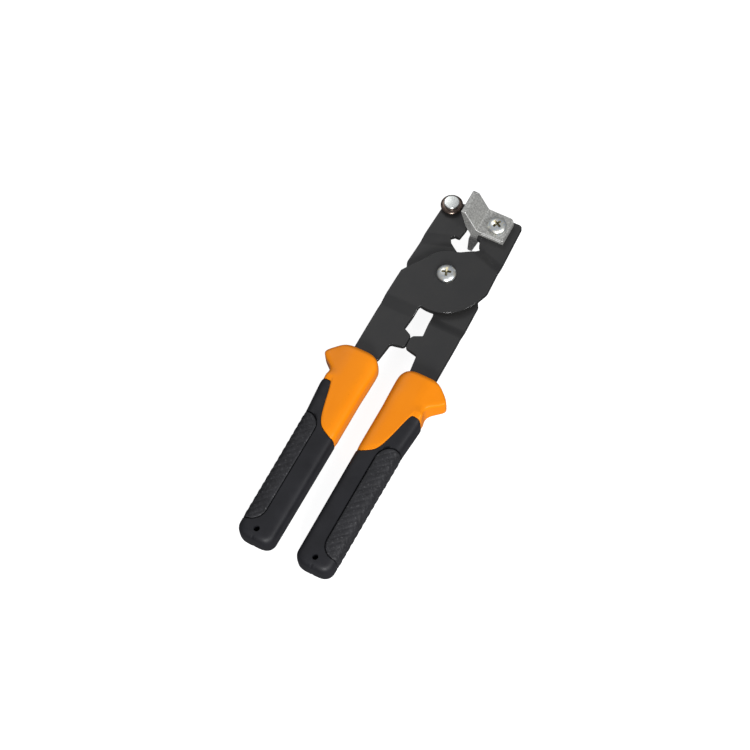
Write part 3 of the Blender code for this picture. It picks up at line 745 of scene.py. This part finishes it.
def hex_nut(name, centre, top, collar, nodes, material):
    """A chamfered hexagon nut below top; collar draws its lower end in to a locking collar."""
    corner = NUT_FLATS / 2 / math.cos(math.radians(30))
    low = top - NUT_HEIGHT
    angles = [math.radians(60 * k + 30) for k in range(6)]
    outline = [(centre[0] + corner * math.cos(a), centre[1] + corner * math.sin(a)) for a in angles]
    made = as_object(name, prism(outline, low, top))
    face, past = corner - NUT_FACE_IN, corner + 0.2
    if collar:
        neck = NUT_FLATS / 2 - 0.25
        crown = [(0, low - HAIR, 0), (neck, low - HAIR, 0.7), (neck, low + 1.5, 0.2),
                 (past, low + 2.1, 0)]
    else:
        crown = [(0, low - HAIR, 0), (face, low - HAIR, 0), (past, low + NUT_CHAMFER, 0)]
    crown += [(past, top - NUT_CHAMFER, 0), (face, top + HAIR, 0), (0, top + HAIR, 0)]
    combine(made, lathe(crown, centre, 72), "INTERSECT")
    drill(made, BORE, centre, low - 0.5, top + 0.5, 0.9)
    if collar:
        drill(made, M6 + 1.1, centre, low - 1, low + INSERT_HEIGHT + 0.1)
    finish_piece(made, FRONT, nodes, "zinc_steel", material, 0.12, 30.0)


def split_washer(name, centre, low, high, nodes, material):
    """A spring lock washer: a square-section ring with a slanting cut."""
    corners = [(BORE, low, 0), (LOCK_WASHER_RADIUS, low, 0.15), (LOCK_WASHER_RADIUS, high, 0.15),
               (BORE, high, 0)]
    made = as_object(name, lathe(corners, centre))
    x, y = centre
    slit, lean, past = 0.6, 0.5, 0.2
    outline = [(x, low - past), (x + slit, low - past), (x + slit + lean, high + past),
               (x + lean, high + past)]
    combine(made, prism(outline, y - LOCK_WASHER_RADIUS - 1, y - 1, "Y"))
    finish_piece(made, FRONT, nodes, "zinc_steel", material)


def pivot(screw_zinc, recess, nut_zinc, white):
    """The pivot screw with its shim, washer, lock nut and nylon ring."""
    head_seat = JOGGLE + PLATE / 2 + SEAT_GAP
    back = -JOGGLE - PLATE / 2 - SEAT_GAP
    nut_top = back - WASHER - SEAT_GAP
    end = nut_top - NUT_HEIGHT - THREAD_PAST_NUT
    pan_screw("pivot_pan_screw", (0, 0), head_seat, end, 20.0, ["pivot_screw"], screw_zinc,
              recess)
    half = PLATE_GAP / 2 - SEAT_GAP
    ring("pivot_shim_ring", (0, 0), BORE, SHIM_RADIUS, -half, half, FRONT, ["pivot_shim"], "nylon",
         white)
    ring("pivot_flat_washer", (0, 0), BORE, WASHER_RADIUS, back - WASHER, back, FRONT,
         ["pivot_washer"], "zinc_steel", nut_zinc)
    hex_nut("pivot_nyloc_nut", (0, 0), nut_top, True, ["pivot_lock_nut"], nut_zinc)
    insert_top = nut_top - NUT_HEIGHT + INSERT_HEIGHT - 0.05
    ring("pivot_nut_ring", (0, 0), BORE, M6 + 1.0, insert_top - INSERT_HEIGHT, insert_top, FRONT,
         ["pivot_nut_insert"], "nylon", white)


# Breaker


def half_breaker(wing, side):
    """Half of the cross-section as (x, z, fillet), from the fork's root round to the knee."""
    inner, outer = wing["tip"]
    return [(FORK_ROOT, side * FORK_SLOT, 0.3), (FORK_END, side * FORK_SLOT, 0.3),
            (FORK_END, side * FORK_OUTER, 0.35), (wing["foot"], side * FORK_OUTER, 1.3),
            (outer, side * WING_REACH, 0.7), (inner, side * WING_REACH, 0.7),
            (*wing["knee"], 1.2)]


def breaker(metal, rubbed_and_highlit, screw_zinc, recess, nut_zinc):
    """The breaker, forked over the front lever's jaw, with its screw, washer and nut."""
    south, north = BREAKER_Y
    corners = half_breaker(UPPER_WING, 1) + [(*V_APEX, 0.8)] + half_breaker(LOWER_WING, -1)[::-1]
    made = as_object("breaker_casting", prism(rounded(corners, 18.0), south, north, "Y"))
    side_view = [(south, -WING_REACH, 0.25), (north, -WING_REACH, TIP_ROUND),
                 (north, WING_REACH, TIP_ROUND), (south, WING_REACH, 0.7)]
    combine(made, prism(rounded(side_view, 12.0), -15, 25, "X"), "INTERSECT")
    top_view = [(-12, south, 0), (FORK_END, south, 0.9), (FORK_END, north, FORK_CORNER),
                (-12, north, 0)]
    combine(made, prism(rounded(top_view, 12.0), -30, 30), "INTERSECT")
    drill(made, CLEARANCE_HOLE, BREAKER_SCREW, -FORK_OUTER - 1, FORK_OUTER + 1)
    groove_z = GROOVE_SHARE * FORK_OUTER + (1 - GROOVE_SHARE) * FORK_SLOT
    bottom = south + GROOVE_DEPTH
    for side in (1, -1):
        low, high = side * groove_z - GROOVE_HALF, side * groove_z + GROOVE_HALF
        groove = [(south - 1, low), (bottom, low), (bottom, high), (south - 1, high)]
        combine(made, prism(groove, FORK_ROOT + 2.2, FORK_END - 1.6, "X"))
    # The bevels get the much paler aluminium: partly wear on the edges, partly a painted highlight.
    finish_piece(made, FRONT, ["breaker_jaw"], "cast_aluminium", metal, BREAKER_EDGE, 40.0,
                 edge_material=rubbed_and_highlit)

    back = -FORK_OUTER - SEAT_GAP
    nut_top = back - WASHER - SEAT_GAP
    end = nut_top - NUT_HEIGHT - THREAD_PAST_NUT
    pan_screw("breaker_pan_screw", BREAKER_SCREW, FORK_OUTER + SEAT_GAP, end, 65.0,
              ["breaker_screw"], screw_zinc, recess)
    split_washer("breaker_split_washer", BREAKER_SCREW, back - WASHER, back,
                 ["breaker_lock_washer"], nut_zinc)
    hex_nut("breaker_hex_nut", BREAKER_SCREW, nut_top, False, ["breaker_nut"], nut_zinc)


# Scoring wheel


def scoring_wheel(hard, bright, dull):
    """The scoring disc with its spacer, its rivet and the washer behind the jaw."""
    face = PLATE / 2 + SEAT_GAP
    low = face + SPACER + SEAT_GAP
    high = low + WHEEL
    head = high + SEAT_GAP
    ring("wheel_spacer_ring", WHEEL_AT, WHEEL_BORE, SPACER_RADIUS, face, face + SPACER, REAR,
         ["wheel_spacer"], "zinc_steel", dull)
    middle = (low + high) / 2
    hub, shoulder = WHEEL_RADIUS - WHEEL_BEVEL[0], WHEEL_RADIUS - 0.35
    corners = [(WHEEL_BORE, low, 0), (hub, low, 0.15), (shoulder, low + WHEEL_BEVEL[1], 0.2),
               (WHEEL_RADIUS, middle - WHEEL_LAND, 0.12),
               (WHEEL_RADIUS, middle + WHEEL_LAND, 0.12),
               (shoulder, high - WHEEL_BEVEL[1], 0.2), (hub, high, 0.15), (WHEEL_BORE, high, 0)]
    finish_piece(as_object("scoring_disc", lathe(corners, WHEEL_AT, 96)), WHEEL_BODY,
                 ["scoring_wheel"], "dark_carbide", hard, sharp=50.0)
    ring("axle_back_washer", WHEEL_AT, WHEEL_BORE, SPACER_RADIUS, -face - SPACER, -face, REAR,
         ["axle_washer"], "zinc_steel", dull)
    tail = -face - SPACER - SEAT_GAP
    corners = [(0, tail - AXLE_TAIL, 0), (AXLE_TAIL_RADIUS, tail - AXLE_TAIL, 1.1),
               (AXLE_TAIL_RADIUS, tail, 0.15), (AXLE_RADIUS, tail, 0), (AXLE_RADIUS, head, 0),
               (AXLE_HEAD_RADIUS, head, 0.15), (AXLE_HEAD_RADIUS, head + AXLE_HEAD, 0.5),
               (0, head + AXLE_HEAD, 0)]
    finish_piece(as_object("axle_rivet", lathe(corners, WHEEL_AT, 72)), REAR, ["wheel_axle"],
                 "zinc_steel", bright)


# Grips. A place on a grip is (s, y): s runs round the cross-section from the outermost line,
# positive over the front face and negative over the back, in millimetres on a plain section.


def section_table(outer_squareness):
    """Arc length and unit superellipse point, all the way round one cross-section."""
    angle = np.linspace(-math.pi, math.pi, 8001)
    c, s = np.cos(angle), np.sin(angle)
    power = 2 / np.where(c > 0, outer_squareness, GRIP_SQUARENESS)
    ux = np.sign(c) * np.abs(c) ** power
    uz = np.sign(s) * np.abs(s) ** power
    steps = np.hypot(np.diff(ux) * GRIP_HALF, np.diff(uz) * GRIP_THICK)
    length = np.concatenate([[0.0], np.cumsum(steps)])
    return length - length[-1] / 2, ux, uz


SECTION_S, SECTION_X, SECTION_Z = section_table(GRIP_SQUARENESS)
GUARD_S, GUARD_X, GUARD_Z = section_table(GUARD_SQUARENESS)
HALF_ROUND = SECTION_S[-1]
GUARD_S = GUARD_S * HALF_ROUND / GUARD_S[-1]


def s_on_front(x):
    """The s of the point on the front face at this distance from the tool's middle line."""
    front = SECTION_Z > 0.2
    order = np.argsort(SECTION_X[front])
    return float(np.interp((x - GRIP_X) / GRIP_HALF, SECTION_X[front][order],
                           SECTION_S[front][order]))


PAD_S = s_on_front(PAD_X)
HOLE_S = s_on_front(GRIP_X)


def edge_table(stations):
    """The edge as a fine table in rising Y, its corners softened over about a millimetre."""
    y = np.arange(GRIP_END, GRIP_TOP + 0.05, 0.1)
    x = np.interp(y, *np.transpose(stations[::-1]))
    reach = 25
    kernel = np.exp(-0.5 * (np.arange(-reach, reach + 1) / 8.0) ** 2)
    kernel /= kernel.sum()
    before = x[0] - (x[1] - x[0]) * np.arange(reach, 0, -1)
    after = x[-1] + (x[-1] - x[-2]) * np.arange(1, reach + 1)
    return y, np.convolve(np.concatenate([before, x, after]), kernel, "valid")


OUTER_TABLE = edge_table(OUTER_EDGE)
INNER_TABLE = edge_table(INNER_EDGE)


def round_off(distance, radius):
    """How far an edge has drawn in at this distance from the end of a rounded-off block."""
    reach = np.clip(1 - np.clip(distance, 0.0, radius) / radius, 0.0, 1.0) ** 2
    return radius * (1 - np.sqrt(1 - reach))


def grip_surface(s, y, lift=0.0):
    """Points on the grip's skin, moved out along its section by lift."""
    guard = rise(y, GUARD_Y)
    ux = np.interp(s, SECTION_S, SECTION_X) * (1 - guard) + np.interp(s, GUARD_S, GUARD_X) * guard
    uz = np.interp(s, SECTION_S, SECTION_Z) * (1 - guard) + np.interp(s, GUARD_S, GUARD_Z) * guard
    from_end = y - GRIP_END
    drawn_in = round_off(from_end, END_ROUND)
    inner = np.interp(y, *INNER_TABLE) + drawn_in
    outer = np.interp(y, *OUTER_TABLE) - drawn_in
    thick = GRIP_THICK - round_off(from_end, END_DOME) - round_off(GRIP_TOP - y, NOSE_ROUND)
    x = (inner + outer) / 2 + (outer - inner) / 2 * ux
    thick = thick * (1 - GUARD_THINNING * rise(x, THINNING_X) * rise(y, THINNING_Y))
    nx = np.sign(ux) * np.abs(ux) ** (GRIP_SQUARENESS - 1) / GRIP_HALF
    nz = np.sign(uz) * np.abs(uz) ** (GRIP_SQUARENESS - 1) / GRIP_THICK
    size = np.hypot(nx, nz)
    return np.stack([x + lift * nx / size, y + 0 * s, thick * uz + lift * nz / size], axis=-1)


def seam_y(x):
    """Where the soft sleeve's edge runs on the grip, low at the inner side and a tongue outside."""
    slow = rise(x, SEAM_SLOW)
    steep = np.clip((x - SEAM_STEEP[0]) / (SEAM_STEEP[1] - SEAM_STEEP[0]), 0.0, 1.0)
    steep = smooth(steep**SEAM_STEEPNESS)
    risen = SEAM_SLOW_SHARE * slow + (1 - SEAM_SLOW_SHARE) * steep
    past_tongue = np.clip(x - SEAM_PAST_TONGUE, 0.0, None)
    return SEAM_LOW + SEAM_RISE * risen - SEAM_FALL * past_tongue**2


def seam_at(s):
    """The Y at which the seam crosses each line of constant s."""
    low, high = (np.full_like(s, y) for y in SEAM_WITHIN)
    for _ in range(30):
        y = (low + high) / 2
        below = y < seam_y(grip_surface(s, y)[..., 0])
        low = np.where(below, y, low)
        high = np.where(below, high, y)
    return (low + high) / 2


def pad_distance(s, y):
    """Signed distance to the pad's outline, negative on the pad."""
    half_y = (PAD_Y[1] - PAD_Y[0]) / 2
    across = np.abs(s) - (PAD_S - PAD_CORNER)
    along = np.abs(y - sum(PAD_Y) / 2) - (half_y - PAD_CORNER)
    outside = np.hypot(np.clip(across, 0, None), np.clip(along, 0, None))
    return outside + np.minimum(np.maximum(across, along), 0.0) - PAD_CORNER


def hole_distance(s, y):
    """Signed distance to the rim of the hanging hole, negative inside it."""
    return np.hypot(np.abs(s) - HOLE_S, y - HANG_HOLE_Y) - HANG_HOLE


def snap(s, y, distance, level, reach=0.55):
    """Slides grid points that are near a contour of the distance onto it, for a clean edge."""
    small = 0.01
    d = distance(s, y) - level
    ds = (distance(s + small, y) - distance(s - small, y)) / (2 * small)
    dy = (distance(s, y + small) - distance(s, y - small)) / (2 * small)
    near = np.abs(d) < reach * GRID
    return s - np.where(near, d * ds, 0.0), y - np.where(near, d * dy, 0.0)


def rim(distance, radius):
    """How far a rounded edge has dropped at this distance from it."""
    t = np.clip(1 - distance / radius, 0.0, 1.0)
    return radius * (1 - np.sqrt(1 - t * t))


def sheet_faces(rows, columns, wrap, start=0, flip=False):
    """Quads of a grid of vertices numbered row by row."""
    last = columns if wrap else columns - 1
    r, c = np.meshgrid(np.arange(rows - 1), np.arange(last), indexing="ij")
    n = (c + 1) % columns
    quads = np.stack([r * columns + c, r * columns + n, (r + 1) * columns + n,
                      (r + 1) * columns + c], axis=-1).reshape(-1, 4) + start
    return (quads[:, ::-1] if flip else quads).tolist()


def grip_mesh(name, points, faces, side):
    """A grip piece, mirrored onto the arm at -X when side is -1."""
    points = points.reshape(-1, 3) * (side, 1.0, 1.0)
    if side < 0:
        points[:, 1] -= LEFT_DROP * rise(points[:, 1], LEFT_DROP_Y)
    mesh = bpy.data.meshes.new(name)
    mesh.from_pydata(points.tolist(), [], faces)
    shape = bmesh.new()
    shape.from_mesh(mesh)
    bpy.data.meshes.remove(mesh)
    return as_object(name, shape)


def end_caps(rows, columns):
    """Strips that close both ends of a tube straight across from front to back."""
    faces = []
    for row in (0, (rows - 1) * columns):
        half = columns // 2
        for k in range(half):
            a, b = row + k, row + k + 1
            c, d = row + columns - 1 - k, row + (columns - k) % columns
            faces.append(list(dict.fromkeys((a, b, c, d))))
    return faces


def tube(name, s, y, lift, side):
    """A closed grip piece from rows of places right round the grip."""
    rows, columns = y.shape
    points = grip_surface(s, y, lift)
    faces = sheet_faces(rows, columns, True) + end_caps(rows, columns)
    return grip_mesh(name, points, faces, side)


def round_the_grip(spacing):
    """Evenly spaced s all the way round, starting at the outermost line."""
    count = 2 * round(HALF_ROUND / spacing)
    s = np.arange(count) * 2 * HALF_ROUND / count
    return np.where(s > HALF_ROUND, s - 2 * HALF_ROUND, s)


def sleeve(label, side, body, material):
    """The soft sleeve: recessed for the pad, with a hanging hole and a moulding line."""
    s = round_the_grip(GRID)
    seam = seam_at(s)
    curve = END_ROUND * (1 - np.cos(np.linspace(0, math.pi / 2, 16)))
    along = np.linspace(0, 1, round((SEAM_LOW + SEAM_RISE / 2 - GRIP_END) / GRID))[1:]
    along = np.concatenate([along[:-1], 1 - np.array([0.006, 0.0035, 0.0015, 0.0])])
    start = GRIP_END + END_ROUND
    y = np.concatenate([np.repeat(GRIP_END + curve[:, None], len(s), 1),
                        start + (seam - start) * np.sort(along)[:, None]])
    s = np.tile(s, (len(y), 1))
    inner_rows = slice(4, len(y) - 4)
    for distance, level in ((pad_distance, PAD_GROOVE), (hole_distance, 0.0)):
        s[inner_rows], y[inner_rows] = snap(s[inner_rows], y[inner_rows], distance, level)
    lift = -rim(seam - y, 0.6)
    lift += np.where(pad_distance(s, y) < PAD_GROOVE - 0.05, -PAD_RECESS, 0.0)
    lift += np.where(hole_distance(s, y) < -0.05, -HANG_HOLE_DEPTH, 0.0)
    on_surface = grip_surface(s, y)
    lift += 0.09 * np.exp(-((on_surface[..., 2] / MOULD_LINE) ** 2))
    notch = np.hypot(on_surface[..., 0] - GRIP_X, (y - GRIP_END) * 0.5)
    lift -= 0.8 * np.exp(-((notch / 0.6) ** 2)) * (np.abs(s) < HALF_ROUND)
    made = tube(f"{label}_sleeve", s, y, lift, side)
    finish_piece(made, body, [f"{label}_grip_sleeve"], "grip_rubber", material, sharp=55.0)


def core(label, side, body, material):
    """The orange core: the nose and finger guard, slotted for the lever's arm."""
    s = round_the_grip(GRID * 1.4)
    seam = seam_at(s) + SEAM_GAP
    top_curve = NOSE_ROUND * np.cos(np.linspace(0, math.pi / 2, 12))[1:]
    low_edge = np.array([0.0, 0.15, 0.4])
    body_rows = np.linspace(0, 1, 90)[1:]
    stop = GRIP_TOP - NOSE_ROUND
    y = np.concatenate([seam + low_edge[:, None],
                        seam + 0.4 + (stop - seam - 0.4) * body_rows[:, None],
                        np.repeat(GRIP_TOP - top_curve[:, None], len(s), 1)])
    s = np.tile(s, (len(y), 1))
    from_seam = y - seam
    lift = -rim(from_seam, 0.45) - 0.28 * (1 - smooth(from_seam / 4.0))
    lift += 0.08 * np.exp(-((grip_surface(s, y)[..., 2] / MOULD_LINE) ** 2))
    made = tube(f"{label}_core", s, y, lift, side)
    slot_half = PLATE / 2 + 0.16
    (near, far), (low, high) = ARM_SLOT_X, ARM_SLOT_Y
    slot = [(side * near, low), (side * far, low), (side * far, high), (side * near, high)]
    combine(made, prism(slot, -slot_half, slot_half))
    finish_piece(made, body, [f"{label}_grip_core"], "orange_plastic", material, sharp=50.0)


def weave(s, y):
    """Height of a diagonal basket weave, 0 in its valleys and 1 on its strands."""
    u = (s + y) / WEAVE / math.sqrt(2)
    v = (s - y) / WEAVE / math.sqrt(2)
    over = (np.floor(u) + np.floor(v)) % 2 < 1
    across = np.where(over, v % 1.0, u % 1.0) * 2 - 1
    along = np.where(over, u % 1.0, v % 1.0) * 2 - 1
    return (1 - across**4) * (0.45 + 0.55 * (1 - along**2))


def pad(label, side, body, material):
    """The woven rubber pad, set into the sleeve's recess along the grip's outer side."""
    low, high = PAD_Y
    rows = round((high - low) / GRID)
    columns = 2 * round(PAD_S / GRID) + 1
    ends = (1 - np.cos(np.linspace(0, math.pi, rows))) / 2
    y_line = low + (high - low) * (0.35 * ends + 0.65 * np.linspace(0, 1, rows))
    from_end = np.minimum(y_line - low, high - y_line)
    width = PAD_S - round_off(from_end, PAD_CORNER)
    s = width[:, None] * np.linspace(-1, 1, columns)[None, :]
    y = np.repeat(y_line[:, None], columns, 1)
    inside = -pad_distance(s, y)
    relief = WEAVE_HEIGHT * (weave(s, y) - 0.55) * rise(inside, (0.6, 1.6))
    top = grip_surface(s, y, relief - rim(inside, 0.7))
    bottom = grip_surface(s, y, -PAD_THICK)
    count = rows * columns
    faces = sheet_faces(rows, columns, False) + sheet_faces(rows, columns, False, count, True)
    border = list(range(columns))
    border += [r * columns + columns - 1 for r in range(1, rows)]
    border += [(rows - 1) * columns + k for k in range(columns - 2, -1, -1)]
    border += [r * columns for r in range(rows - 2, 0, -1)]
    faces += [(a, b, b + count, a + count) for a, b in zip(border, border[1:] + border[:1])]
    made = grip_mesh(f"{label}_pad", np.concatenate([top, bottom]), faces, side)
    finish_piece(made, body, [f"{label}_grip_pad"], "pad_rubber", material, sharp=60.0)


def grips():
    orange = orange_plastic()
    soft = soft_rubber()
    ribbed = pad_rubber()
    for label, side, body in (("left", -1, FRONT), ("right", 1, REAR)):
        core(label, side, body, orange)
        sleeve(label, side, body, soft)
        pad(label, side, body, ribbed)


# Camera, floor and light

CAMERA_AZIMUTH = math.radians(34.396)
CAMERA_FROM_AXIS = math.radians(27.095)
CAMERA_ROLL = math.radians(6.942)
CAMERA_DISTANCE = 1160.95
PIVOT_SIDEWAYS = 0.037353
PIVOT_UP = 0.051011
LENS = 92.11
SENSOR = 36.0


def camera():
    """Looks down on the tool from behind its grips, placed in the tool's own frame."""
    turn = Matrix.Rotation(CAMERA_AZIMUTH, 3, "Z")
    back = turn @ Vector((0, -math.sin(CAMERA_FROM_AXIS), math.cos(CAMERA_FROM_AXIS)))
    level = turn @ Vector((1, 0, 0))
    above = back.cross(level)
    right = math.cos(CAMERA_ROLL) * level - math.sin(CAMERA_ROLL) * above
    up = math.sin(CAMERA_ROLL) * level + math.cos(CAMERA_ROLL) * above
    at = (back - PIVOT_SIDEWAYS * right - PIVOT_UP * up) * CAMERA_DISTANCE * MM
    axes = Matrix((right, up, back)).transposed().to_4x4()
    data = bpy.data.cameras.new("camera")
    data.lens = LENS
    data.sensor_width = SENSOR
    data.clip_start = 0.01
    data.clip_end = 20.0
    made = linked("camera", data)
    made.matrix_world = PLACED @ Matrix.Translation(at) @ axes
    bpy.context.scene.camera = made


def floor():
    """A pale, glowing floor, left out of reflections and bounced light."""
    made = Finish("pale_floor", (0.35, 0.35, 0.35), 0.0, 0.9)
    made.colour(made.mixed(made.noise(300.0, 2.0), (0.345, 0.345, 0.345), (0.355, 0.355, 0.355)))
    made.specular(0.1)
    made.shader.inputs["Emission Color"].default_value = (1.0, 1.0, 1.0, 1.0)
    made.shader.inputs["Emission Strength"].default_value = 0.9
    shape = bmesh.new()
    bmesh.ops.create_grid(shape, x_segments=8, y_segments=8, size=4.0)
    plane = as_object("floor", shape)
    plane.data.materials.append(made.material)
    plane.visible_diffuse = False
    plane.visible_glossy = False


def area_light(name, at, size, power):
    """A square soft light, aimed at the middle of the floor."""
    data = bpy.data.lights.new(name, "AREA")
    data.size = size
    data.energy = power
    made = linked(name, data)
    made.location = at
    made.rotation_euler = (-Vector(at)).to_track_quat("-Z", "Y").to_euler()


def lighting():
    """A studio dome, darker towards the ground but white to the eye, and three soft lights."""
    world = bpy.data.worlds.new("studio")
    world.use_nodes = True
    tree = world.node_tree
    split = tree.nodes.new("ShaderNodeSeparateXYZ")
    tree.links.new(tree.nodes.new("ShaderNodeTexCoord").outputs["Generated"], split.inputs[0])
    ramp = tree.nodes.new("ShaderNodeValToRGB")
    ground, sky = ramp.color_ramp.elements
    ground.color = (0.20, 0.20, 0.21, 1.0)
    sky.position = 0.75
    sky.color = (0.42, 0.425, 0.44, 1.0)
    tree.links.new(split.outputs["Z"], ramp.inputs["Fac"])
    seen = tree.nodes.new("ShaderNodeMix")
    seen.data_type = "RGBA"
    seen.inputs[7].default_value = (0.92, 0.92, 0.92, 1.0)
    tree.links.new(tree.nodes.new("ShaderNodeLightPath").outputs["Is Camera Ray"], seen.inputs[0])
    tree.links.new(ramp.outputs["Color"], seen.inputs[6])
    tree.links.new(seen.outputs[2], tree.nodes["Background"].inputs["Color"])
    bpy.context.scene.world = world
    area_light("key", (0.62, -1.1, 0.58), 0.35, 19.0)
    area_light("side", (1.25, -0.25, 0.85), 0.4, 13.0)
    area_light("back", (-0.7, 0.6, 1.0), 0.5, 2.2)
    bpy.context.scene.view_settings.view_transform = "Standard"


def main():
    black = painted_steel("black_stoved_paint", 1.0)
    black_far = painted_steel("black_stoved_paint_rear", 1.04)
    screw_zinc = zinc("zinc_plate", (0.82, 0.80, 0.70))
    nut_zinc = zinc("zinc_plate_yellowed", (0.80, 0.74, 0.56))
    recess = recess_zinc()
    # The plates' sides get a near-black painted shade.
    levers(black, black_far, painted_shade_sides(), glossy_edge())
    pivot(screw_zinc, recess, nut_zinc, nylon())
    # The second, paler aluminium goes on the breaker's bevels: partly wear, partly a painted
    # highlight.
    breaker(aluminium("linished_aluminium", (0.30, 0.30, 0.285), (0.50, 0.50, 0.48)),
            aluminium("rubbed_highlit_aluminium", (0.70, 0.70, 0.68), (0.92, 0.92, 0.90)),
            screw_zinc, recess, nut_zinc)
    scoring_wheel(carbide(), rivet_steel(), nut_zinc)
    grips()
    camera()
    floor()
    lighting()


main()
